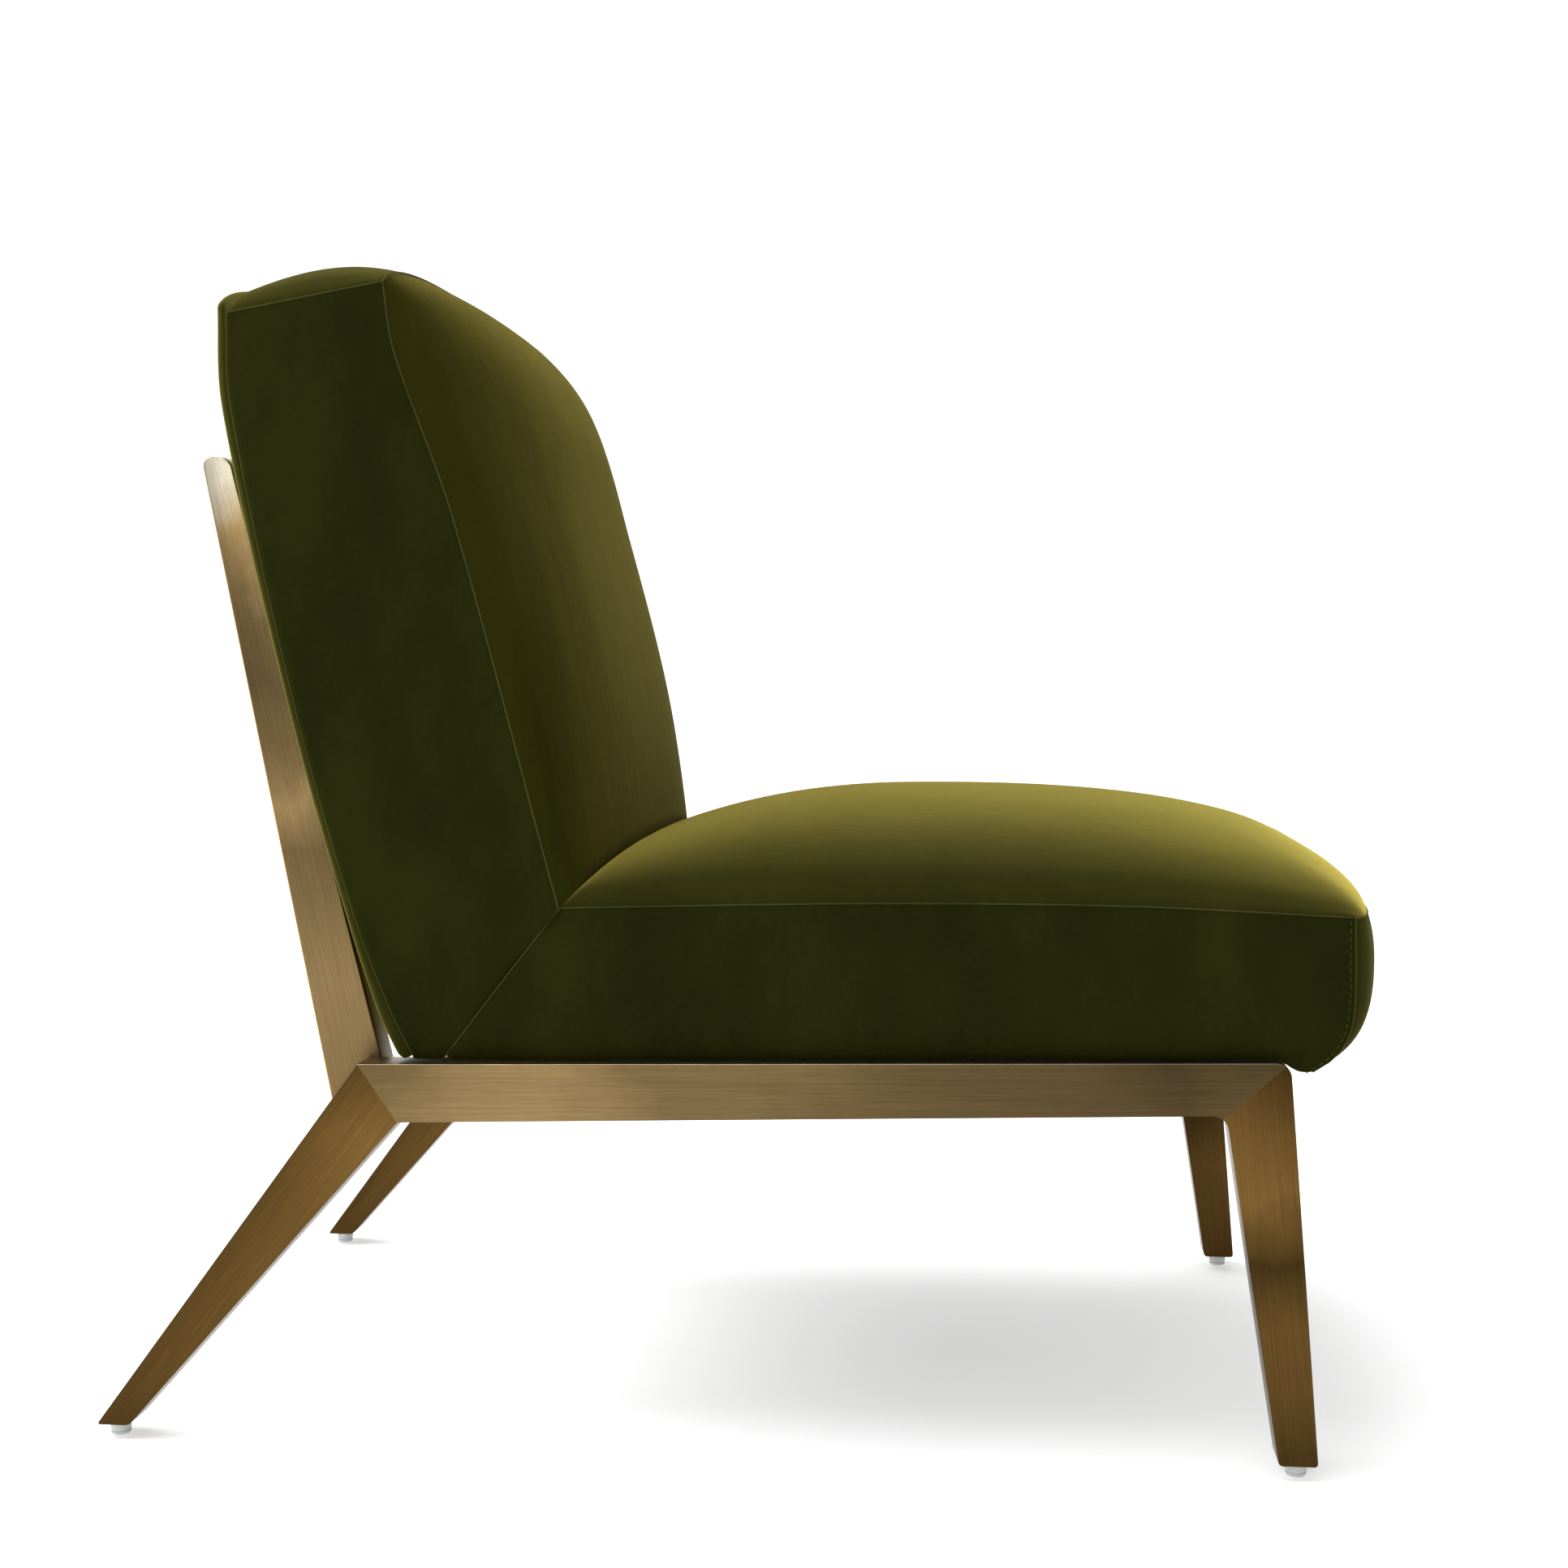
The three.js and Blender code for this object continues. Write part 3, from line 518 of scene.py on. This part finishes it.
# ---- metal ----
def add_side_frame(side, sign):
    x = -FRAME_HALF if sign < 0 else FRAME_HALF - BAR
    outline = [TOP_REAR, TOP_FRONT, (FRONT_FOOT[0], FOOT_Z), (FRONT_FOOT[1], FOOT_Z),
               UNDER_FRONT, UNDER_REAR, (REAR_FOOT[1], FOOT_Z), (REAR_FOOT[0], FOOT_Z)]
    whole = plate(f"{side}_side_frame", outline, x)
    round_corners(whole, [TOP_FRONT, UNDER_FRONT], CORNER_RADIUS, 8)
    feet = [(y, FOOT_Z) for y in (*FRONT_FOOT, *REAR_FOOT)]
    round_corners(whole, feet, FOOT_ROUND, 3)
    pull_across(BAR)
    soften_edges()
    finish_edit()
    front = (Vector((0, *TOP_FRONT)), Vector((0, *UNDER_FRONT)))
    rear = (Vector((0, *TOP_REAR)), Vector((0, *UNDER_REAR)))
    across = Vector((1, 0, 0))
    cuts = {
        "side_rail": ([(front, True), (rear, False)], BRASS_RAIL),
        "front_leg": ([(front, False)], BRASS_FRONT_LEG),
        "rear_leg": ([(rear, True)], BRASS_REAR_LEG),
    }
    for part, (planes, look) in cuts.items():
        member = copy_of(whole, f"{side}_{part}_tube")
        bpy.ops.object.select_all(action="DESELECT")
        member.select_set(True)
        bpy.context.view_layer.objects.active = member
        bpy.ops.object.mode_set(mode="EDIT")
        for (high, low), rearward in planes:
            normal = (low - high).normalized().cross(across)
            if normal.y < 0:
                normal.negate()
            cut(high, normal, rearward)
        finish_edit()
        shade(member)
        dress(member, look, "antique_brass", f"{side}_{part}")
    bpy.data.objects.remove(whole)


def add_upright(side):
    lo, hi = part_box(f"{side}_back_upright")
    radius = (UPRIGHT_HIGH[1] - UPRIGHT_HIGH[0]) / 2
    rise = (radius * math.sin(BACK_LEAN), radius * math.cos(BACK_LEAN))
    tops = [(UPRIGHT_HIGH[1] + rise[0], UPRIGHT_HIGH[2] + rise[1]),
            (UPRIGHT_HIGH[0] + rise[0], UPRIGHT_HIGH[2] + rise[1])]
    outline = [(UPRIGHT_LOW[1], UPRIGHT_LOW[2]), *tops, (UPRIGHT_LOW[0], UPRIGHT_LOW[2])]
    piece = plate(f"{side}_upright_tube", outline, lo[0])
    round_corners(piece, tops, radius * 0.93, 9)
    pull_across(hi[0] - lo[0])
    soften_edges()
    finish_edit()
    for level in ("lower", "upper"):
        sink_bolt_head(piece, f"{side}_{level}_back_bolt")
    shade(piece)
    dress(piece, BRASS_UPRIGHT, "antique_brass", f"{side}_back_upright")


def add_tube(name, node, look):
    """A square bar that fills the box of its node, with softened edges."""
    lo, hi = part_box(node)
    size = Vector(hi) - Vector(lo)
    bpy.ops.object.select_all(action="DESELECT")
    bpy.ops.mesh.primitive_cube_add(size=1, location=(Vector(lo) + Vector(hi)) / 2, scale=size)
    piece = bpy.context.object
    settle(piece)
    start(name)
    soften_edges()
    finish_edit()
    shade(piece)
    dress(piece, look, "antique_brass", node)


def add_turned(name, rings, sides=40):
    """A turned piece standing on the origin: a disc pulled up and resized ring by ring."""
    bpy.ops.object.select_all(action="DESELECT")
    bpy.ops.mesh.primitive_circle_add(vertices=sides, radius=rings[0][0], fill_type="NGON",
                                      location=(0, 0, rings[0][1]))
    piece = start(name)
    for (r0, h0), (r1, h1) in zip(rings, rings[1:]):
        bpy.ops.mesh.extrude_region_move(TRANSFORM_OT_translate={"value": (0, 0, h1 - h0)})
        bpy.ops.transform.resize(value=(r1 / r0, r1 / r0, 1))
    finish_edit()
    settle(piece)
    return piece


def add_glide(corner):
    lo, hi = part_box(f"{corner}_glide")
    centre = (Vector(lo) + Vector(hi)) / 2
    rings = [(0.0050, 0.0), (0.0060, 0.0003), (0.0068, 0.0012), (0.0070, 0.0024), (0.0064, 0.0030),
             (0.0064, 0.0036), (0.0072, 0.0042), (0.0073, 0.0098), (0.0070, 0.0102), (0.0029, 0.0103),
             (0.0029, 0.0128)]
    piece = add_turned(f"{corner}_glide_pad", rings)
    piece.location = (centre.x, centre.y, 0)
    settle(piece)
    shade(piece, 35)
    dress(piece, GLIDE, "glide_plastic", f"{corner}_glide")


def bolt_place(node, leaning):
    """Where the outer face of a bolt's head is, how far the bolt turns about X, and its length."""
    lo, hi = (Vector(corner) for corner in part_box(node))
    middle = (lo.x + hi.x) / 2
    if not leaning:
        return Vector((middle, lo.y + HEAD_RADIUS, lo.z)), -RAIL_TILT, hi.z - lo.z
    sine, cosine = math.sin(BACK_LEAN), math.cos(BACK_LEAN)
    head = Vector((middle, hi.y - HEAD_RADIUS * sine, lo.z + HEAD_RADIUS * cosine))
    length = (hi.y - lo.y - (HEAD_RADIUS + SHANK_RADIUS) * sine) / cosine
    return head, math.pi / 2 - BACK_LEAN, length


def add_bolt(node, leaning):
    """A flat-headed bolt with a hexagon socket, its head at the low end."""
    head, turn, length = bolt_place(node, leaning)
    rings = [(0.0024, 0.0024), (0.0025, 0.0002), (0.0031, 0.0), (0.0054, 0.0001), (0.0058, 0.0005),
             (HEAD_RADIUS, 0.0011), (HEAD_RADIUS, 0.0037), (0.0057, 0.0040), (0.0034, 0.0040),
             (SHANK_RADIUS, 0.0044), (SHANK_RADIUS, length - 0.0008), (0.0024, length)]
    piece = add_turned(f"{node}_socket_head", rings, 48)
    for vertex in piece.data.vertices:
        if vertex.co.z < 0.003 and vertex.co.xy.length < 0.0028:
            angle = math.atan2(vertex.co.y, vertex.co.x) % (math.pi / 3) - math.pi / 6
            flat = math.cos(math.pi / 6) / math.cos(angle)
            vertex.co.x *= flat
            vertex.co.y *= flat
    piece.matrix_world = Matrix.Translation(head) @ Matrix.Rotation(turn, 4, "X")
    settle(piece)
    shade(piece, 35)
    dress(piece, BOLT, "bolt_steel", node)


def sink_bolt_head(piece, node):
    """Counterbores a piece so that a bolt's head lies flush in it."""
    head, turn, _ = bolt_place(node, True)
    bpy.ops.object.select_all(action="DESELECT")
    bpy.ops.mesh.primitive_cylinder_add(vertices=48, radius=HEAD_RADIUS + 0.0004, depth=HEAD_DEPTH * 2)
    cutter = bpy.context.object
    cutter.matrix_world = Matrix.Translation(head) @ Matrix.Rotation(turn, 4, "X")
    bpy.ops.object.select_all(action="DESELECT")
    piece.select_set(True)
    bpy.context.view_layer.objects.active = piece
    bore = piece.modifiers.new("bore", "BOOLEAN")
    bore.object, bore.operation, bore.solver = cutter, "DIFFERENCE", "EXACT"
    bpy.ops.object.modifier_apply(modifier=bore.name)
    bpy.data.objects.remove(cutter)


# ---- upholstery ----
def dome(u):
    return (1 - min(abs(u), 1) ** 2.6) ** 0.5


def rail_top(y):
    return TOP_REAR[1] + (TOP_REAR[0] - y) * (TOP_FRONT[1] - TOP_REAR[1]) / (TOP_REAR[0] - TOP_FRONT[0])


def mitre_y(z):
    return MITRE_LOW[0] + (z - MITRE_LOW[1]) * (MITRE_HIGH[0] - MITRE_LOW[0]) / (MITRE_HIGH[1] - MITRE_LOW[1])


def seat_crown(y):
    """Height of the seat's crown: steep at the nose, long and nearly flat, then falling to the back."""
    forward = min(max((CREST_Y - y) / (CREST_Y - SEAT_SEAM[0][0]), 0), 1)
    rearward = min(max((y - CREST_Y) / (MITRE_HIGH[0] - CREST_Y), 0), 1)
    return CREST * (1 - forward ** 2.4) ** 0.42 - CREST_FALL * rearward ** 2.7


def nose_line(w):
    """The nose along its side seam: y at a share of the height."""
    return NOSE_FACE + NOSE_TUCK * (1 - w) ** 7


def nose_bulge(w):
    """Share of the nose's bulge at a share of its height."""
    if w < NOSE_WIDEST:
        return 1 - (1 - NOSE_LOW_SHARE) * (1 - w / NOSE_WIDEST) ** 2.6
    return 1 - (1 - NOSE_TOP_SHARE) * ((w - NOSE_WIDEST) / (1 - NOSE_WIDEST)) ** 2


def seat_place(u, v, w):
    """u across, v from front to rear, w from bottom to top."""
    v = mix(v, 1 - math.cos(math.pi * v / 2), NOSE_CROWDING)
    y0 = mix(SEAT_SEAM[0][0], mix(MITRE_LOW[0], MITRE_HIGH[0], w), v)
    y_low = mix(nose_line(0), MITRE_LOW[0], v)
    droop = NOSE_DROOP * smooth((DROOP_Y - y_low) / DROOP_LENGTH)
    tuck = LINING_TUCK * smooth((TUCK_RIM - abs(u)) / 0.02) * smooth((y_low - TUCK_Y) / 0.008)
    low = rail_top(y_low) + SEAT_LIFT - droop + (tuck if w < 0.01 else 0)
    high = along(SEAT_SEAM, y0) + seat_crown(y0) * dome(u)
    z = mix(low, high, w)
    front = nose_line(w) - FRONT_CROWN * dome(u) * nose_bulge(w)
    y = mix(front, mitre_y(z) - MITRE_GAP, v)
    return u * (SEAM_HALF + SIDE_BULGE * 4 * w * (1 - w)), y, z


def back_place(u, v, w):
    """u across, v from front to rear, w from bottom to top: the lowest fifth lies on the mitre."""
    full = dome(u)
    low = MITRE_LOW[1] + SEAT_LIFT
    rise = (w - MITRE_ROWS) / (1 - MITRE_ROWS)
    if rise <= 1e-4:
        front_z = mix(low, mix(MITRE_HIGH[1], BACK_MIDDLE[0][0], full), w / MITRE_ROWS)
        front_y = mitre_y(front_z) + MITRE_GAP
    else:
        seam_z = mix(BACK_FRONT[0][0], BACK_FRONT[-1][0], rise)
        middle_z = mix(BACK_MIDDLE[0][0], BACK_MIDDLE[-1][0], rise)
        front_z = mix(seam_z, middle_z, full)
        front_y = mix(along(BACK_FRONT, seam_z), along(BACK_MIDDLE, middle_z), full)
    rear_z = mix(low, BACK_SEAM[-1][0], w)
    rear_y = along(BACK_SEAM, rear_z)
    rear_z += REAR_CROWN * full * smooth((rise - 0.8) / 0.2)
    puff = TOP_PUFF * full * 4 * v * (1 - v) * smooth((rise - 0.85) / 0.15)
    belly = min(1, w * 1.2)
    across = SEAM_HALF + SIDE_BULGE * 4 * belly * (1 - belly)
    return u * across, mix(front_y, rear_y, v), mix(front_z, rear_z, v) + puff


def tighter(t):
    """Spaces rows so that they crowd towards both ends."""
    return mix(t, 0.5 - 0.5 * math.cos(math.pi * t), PANEL_CROWDING)


def panel_place(u, v, w):
    """The closing panel: v from its hidden face to its rear face, its rim rounded over."""
    u, w = 2 * tighter((u + 1) / 2) - 1, tighter(w)
    full, half = dome(u), SEAM_HALF - PANEL_INSET
    crown = REAR_CROWN * full * smooth((w - CROWN_START) / (1 - CROWN_START))
    front_z = mix(PANEL_LOW + 0.002, PANEL_HIGH - 0.006, w)
    front_y = along(BACK_SEAM, front_z) + PANEL_GAP
    rear_z = mix(PANEL_LOW, PANEL_HIGH, w)
    depth = mix(PANEL_LOW_DEPTH, PANEL_DEPTH, smooth((rear_z - PANEL_LOW) / PANEL_FOOT))
    puff = PANEL_PUFF * smooth((PUFF_RIM - abs(u)) / PUFF_FADE) * math.sin(math.pi * w)
    rear_y = along(BACK_SEAM, rear_z) + depth + puff
    rim = min((1 - abs(u)) * half, (1 - w) * 0.5, w * 0.5)
    inside = max(0, 1 - rim / PANEL_ROUND)
    rear_y -= PANEL_ROUND * (1 - math.sqrt(1 - inside ** 2))
    return u * half, mix(front_y, rear_y, v), mix(front_z, rear_z, v) + crown


def cell_box(name, cells):
    """A box of -1..1 by 0..1 by 0..1, divided into cells along each of its three directions."""
    bpy.ops.object.select_all(action="DESELECT")
    bpy.ops.mesh.primitive_cube_add(size=1, location=(0, 0.5, 0.5), scale=(2, 1, 1))
    piece = bpy.context.object
    settle(piece)
    start(name)
    for axis, count in enumerate(cells):
        def runs_along(edge, axis=axis):
            a, b = (piece.data.vertices[i].co for i in edge.vertices)
            return abs((b - a)[axis]) > 1e-4
        choose(piece, "edges", runs_along)
        bpy.ops.mesh.subdivide(number_cuts=count - 1)
    finish_edit()
    return piece


def shape(piece, place):
    """Moves every point of a cell box to its place, and returns where each point was in the box."""
    grid = [v.co.copy() for v in piece.data.vertices]
    for vertex, spot in zip(piece.data.vertices, grid):
        vertex.co = place(*spot)
    return grid


def inflate(piece, held):
    """Blows the piece up as cloth with the held points fixed; no point goes further than the cap."""
    scene = bpy.context.scene
    group = piece.vertex_groups.new(name="held")
    group.add(held, 1.0, "REPLACE")
    cloth = piece.modifiers.new("cloth", "CLOTH")
    settings = cloth.settings
    settings.vertex_group_mass = "held"
    settings.quality = 6
    settings.mass = 0.3
    settings.use_pressure = True
    settings.uniform_pressure_force = PRESSURE
    settings.effector_weights.gravity = 0
    settings.tension_stiffness = settings.compression_stiffness = 20
    settings.shear_stiffness = 8
    settings.bending_stiffness = 12
    cloth.point_cache.frame_start, cloth.point_cache.frame_end = 1, SIM_FRAMES
    for number in range(1, SIM_FRAMES + 1):
        scene.frame_set(number)
    shown = piece.evaluated_get(bpy.context.evaluated_depsgraph_get())
    blown = [v.co.copy() for v in shown.data.vertices]
    piece.modifiers.remove(cloth)
    piece.vertex_groups.remove(group)
    scene.frame_set(1)
    for vertex, goal in zip(piece.data.vertices, blown):
        step = goal - vertex.co
        if step.length > PUFF_CAP:
            step *= PUFF_CAP / step.length
        vertex.co += step


def crease(piece, grid, on_seam):
    sharp = piece.data.attributes.new("crease_edge", "FLOAT", "EDGE")
    for edge in piece.data.edges:
        a, b = (grid[i] for i in edge.vertices)
        sharp.data[edge.index].value = 1.0 if on_seam(a) and on_seam(b) else 0.0


def face_with(piece, grid, main, others):
    """Gives the faces that a test picks their own velvet: copies of one velvet with other tones and sheen, as
    painted light and shade on each panel.
    """
    piece.data.materials.append(main)
    for number, (material, wanted) in enumerate(others.items(), 1):
        piece.data.materials.append(material)
        for face in piece.data.polygons:
            if all(wanted(grid[i]) for i in face.vertices):
                face.material_index = number


def refine(piece):
    settle(piece)
    mod = piece.modifiers.new("fine", "SUBSURF")
    mod.levels = mod.render_levels = 1
    bpy.ops.object.modifier_apply(modifier=mod.name)
    bpy.ops.object.shade_smooth()


def seam_line(piece, grid, wanted, key):
    """The points of a seam in order, read from the blown-up piece."""
    spots = [(key(spot), piece.data.vertices[i].co.copy()) for i, spot in enumerate(grid) if wanted(spot)]
    return [co for _, co in sorted(spots, key=lambda pair: pair[0])]


def add_stitches(name, line, sign, pitch=0.0052, length=0.0030, inset=0.0032):
    """A row of short stitches on the side panel, just behind a seam."""
    bpy.ops.object.select_all(action="DESELECT")
    stitches, walked = [], 0.0
    for a, b in zip(line, line[1:]):
        step = (b - a).length
        while walked < step:
            spot = a.lerp(b, walked / step) + Vector((sign * 0.0001, inset, 0))
            bpy.ops.mesh.primitive_cylinder_add(vertices=8, radius=0.00035, depth=length)
            stitch = bpy.context.object
            turn = (b - a).to_track_quat("Z", "X").to_matrix().to_4x4()
            stitch.matrix_world = Matrix.Translation(spot) @ turn
            stitches.append(stitch)
            walked += pitch
        walked -= step
    for stitch in stitches:
        stitch.select_set(True)
    bpy.ops.object.join()
    piece = bpy.context.object
    piece.name = piece.data.name = name
    settle(piece)
    shade(piece, 50)
    dress(piece, SEAM_VELVET, "velvet")


def add_seam(name, points, radius=SEAM_RADIUS):
    """A slim rolled seam along a line of points."""
    curve = bpy.data.curves.new(name, "CURVE")
    curve.dimensions, curve.bevel_depth, curve.bevel_resolution = "3D", radius, 2
    curve.use_fill_caps = True
    spline = curve.splines.new("POLY")
    spline.points.add(len(points) - 1)
    for point, co in zip(spline.points, points):
        point.co = (*co, 1)
    piece = bpy.data.objects.new(name, curve)
    bpy.context.collection.objects.link(piece)
    bpy.ops.object.select_all(action="DESELECT")
    piece.select_set(True)
    bpy.context.view_layer.objects.active = piece
    bpy.ops.object.convert(target="MESH")
    bpy.ops.object.shade_smooth()
    dress(bpy.context.object, SEAM_VELVET, "velvet")


def near(a, b):
    return abs(a - b) < 1e-4


def add_seat():
    piece = cell_box("seat_cushion", (58, 70, 14))
    grid = shape(piece, seat_place)

    def side_seam(s):
        return near(abs(s.x), 1) and (near(s.z, 1) or near(s.y, 0) or near(s.z, 0) or near(s.y, 1))

    def hidden(s):
        return near(s.y, 1) or (near(s.z, 0) and s.y > 0.1)

    def nose_seam(s):
        return near(s.z, 1) and near(s.y, 0)

    held = [i for i, s in enumerate(grid) if side_seam(s) or hidden(s) or nose_seam(s)]
    inflate(piece, held)
    crease(piece, grid, side_seam)
    for side, sign in (("right", -1), ("left", 1)):
        add_seam(f"{side}_seat_top_seam",
                 seam_line(piece, grid, lambda s: near(s.x, sign) and near(s.z, 1), lambda s: s.y))
        front = seam_line(piece, grid, lambda s: near(s.x, sign) and near(s.y, 0), lambda s: s.z)
        add_seam(f"{side}_seat_front_seam", front)
        add_stitches(f"{side}_seat_front_stitches", front, sign)
        add_seam(f"{side}_mitre_seam",
                 seam_line(piece, grid, lambda s: near(s.x, sign) and near(s.y, 1), lambda s: s.z))
    add_seam("seat_nose_seam", seam_line(piece, grid, nose_seam, lambda s: s.x))
    face_with(piece, grid, SEAT_VELVET, {
        SIDE_VELVET: lambda s: near(abs(s.x), 1),
        NOSE_VELVET: lambda s: near(s.y, 0)})
    refine(piece)
    dress(piece, None, "velvet", "seat_cover", "seat_foam")


def add_back():
    piece = cell_box("back_cushion", (58, 16, 70))
    grid = shape(piece, back_place)

    def side_seam(s):
        return near(abs(s.x), 1) and (near(s.z, 1) or near(s.z, 0) or near(s.y, 0) or near(s.y, 1))

    def hidden(s):
        return near(s.y, 1) or near(s.z, 0) or (near(s.y, 0) and s.z < MITRE_ROWS + 1e-4)

    def top_seam(s):
        return near(s.z, 1) and near(s.y, 0)

    held = [i for i, s in enumerate(grid) if side_seam(s) or hidden(s) or top_seam(s)]
    inflate(piece, held)
    crease(piece, grid, side_seam)
    for side, sign in (("right", -1), ("left", 1)):
        add_seam(f"{side}_back_front_seam", seam_line(
            piece, grid, lambda s: near(s.x, sign) and near(s.y, 0) and s.z > MITRE_ROWS - 1e-4,
            lambda s: s.z))
        add_seam(f"{side}_back_top_seam",
                 seam_line(piece, grid, lambda s: near(s.x, sign) and near(s.z, 1), lambda s: s.y))
        add_seam(f"{side}_back_rear_seam",
                 seam_line(piece, grid, lambda s: near(s.x, sign) and near(s.y, 1), lambda s: s.z))
    add_seam("back_top_front_seam", seam_line(piece, grid, top_seam, lambda s: s.x))
    face_with(piece, grid, BACK_VELVET, {SIDE_VELVET: lambda s: near(abs(s.x), 1)})
    refine(piece)
    dress(piece, None, "velvet", "back_cover", "back_foam")


def add_back_panel():
    piece = cell_box("outside_back", (64, 4, 76))
    shape(piece, panel_place)
    refine(piece)
    dress(piece, PANEL_VELVET, "velvet", "outside_back_panel")


# ---- floor, light and camera ----
def add_stage():
    bpy.ops.object.select_all(action="DESELECT")
    bpy.ops.mesh.primitive_plane_add(size=1)
    floor = bpy.context.object
    floor.name = "floor"
    floor.scale = (14, 14, 1)
    settle(floor)
    bpy.ops.object.mode_set(mode="EDIT")
    choose(floor, "edges", lambda e: all(floor.data.vertices[i].co.x > 6 for i in e.vertices))
    bpy.ops.mesh.extrude_region_move(TRANSFORM_OT_translate={"value": (0, 0, 9)})
    choose(floor, "edges", lambda e: all(floor.data.vertices[i].co.x > 6 and floor.data.vertices[i].co.z < 1
                                         for i in e.vertices))
    bpy.ops.mesh.bevel(offset=3.5, segments=16, affect="EDGES")
    bpy.ops.object.mode_set(mode="OBJECT")
    bpy.ops.object.shade_smooth()
    look = Look("pale_floor", roughness=0.9)
    look.shader.inputs["Base Color"].default_value = (0.90, 0.90, 0.90, 1)
    look.shader.inputs["Emission Color"].default_value = (1, 1, 1, 1)
    look.shader.inputs["Emission Strength"].default_value = FLOOR_GLOW
    floor.data.materials.append(look.material)

    world = bpy.data.worlds.new("studio")
    bpy.context.scene.world = world
    world.use_nodes = True
    tree = world.node_tree
    direction = tree.nodes.new("ShaderNodeTexCoord").outputs["Generated"]
    split = tree.nodes.new("ShaderNodeSeparateXYZ")
    tree.links.new(direction, split.inputs["Vector"])
    climb = tree.nodes.new("ShaderNodeMapRange")
    climb.interpolation_type = "SMOOTHSTEP"
    tree.links.new(split.outputs["Z"], climb.inputs["Value"])
    for name, value in zip(("From Min", "From Max", "To Min", "To Max"), (0.1, 0.95, *WORLD_LIGHT)):
        climb.inputs[name].default_value = value
    ahead = tree.nodes.new("ShaderNodeMapRange")
    tree.links.new(split.outputs["Y"], ahead.inputs["Value"])
    for name, value in zip(("From Min", "From Max", "To Min", "To Max"), (-1.0, 1.0, *FRONT_TO_REAR)):
        ahead.inputs[name].default_value = value
    strength = tree.nodes.new("ShaderNodeMath")
    strength.operation = "MULTIPLY"
    tree.links.new(climb.outputs["Result"], strength.inputs[0])
    tree.links.new(ahead.outputs["Result"], strength.inputs[1])
    tree.links.new(strength.outputs["Value"], tree.nodes["Background"].inputs["Strength"])
    tree.nodes["Background"].inputs["Color"].default_value = (1, 1, 1, 1)
    bpy.context.scene.view_settings.view_transform = "Standard"


def add_light(name, place, target, size, power):
    data = bpy.data.lights.new(name, "AREA")
    data.shape, data.size, data.size_y = "RECTANGLE", *size
    data.energy = power
    light = bpy.data.objects.new(name, data)
    light.location = place
    light.rotation_euler = (Vector(target) - Vector(place)).to_track_quat("-Z", "Y").to_euler()
    bpy.context.collection.objects.link(light)


def add_camera():
    yaw, pitch = math.radians(CAMERA_YAW), math.radians(CAMERA_PITCH)
    data = bpy.data.cameras.new("camera")
    data.sensor_width, data.lens = 36, CAMERA_LENS
    camera = bpy.data.objects.new("camera", data)
    camera.location = CAMERA_PLACE
    aim = Vector((math.cos(yaw) * math.cos(pitch), math.sin(yaw) * math.cos(pitch), math.sin(pitch)))
    camera.rotation_euler = aim.to_track_quat("-Z", "Y").to_euler()
    bpy.context.collection.objects.link(camera)
    bpy.context.scene.camera = camera


dress_cad_nodes()
for side, sign in (("right", -1), ("left", 1)):
    add_side_frame(side, sign)
    add_upright(side)
    for end in ("front", "rear"):
        add_glide(f"{side}_{end}")
        add_bolt(f"{side}_{end}_seat_bolt", leaning=False)
    for level in ("lower", "upper"):
        add_bolt(f"{side}_{level}_back_bolt", leaning=True)
for end in ("front", "rear"):
    add_tube(f"{end}_cross_bar", f"{end}_cross_rail", BRASS_CROSS)
add_seat()
add_back()
add_back_panel()
add_stage()
add_light("overhead", (0.1, 1.4, 3.3), (0, 0.2, 0.4), (4.0, 4.0), OVERHEAD_POWER)
add_light("side_fill", (-4.2, 0.6, 1.6), (0, 0, 0.4), (3.0, 2.2), FILL_POWER)
add_camera()
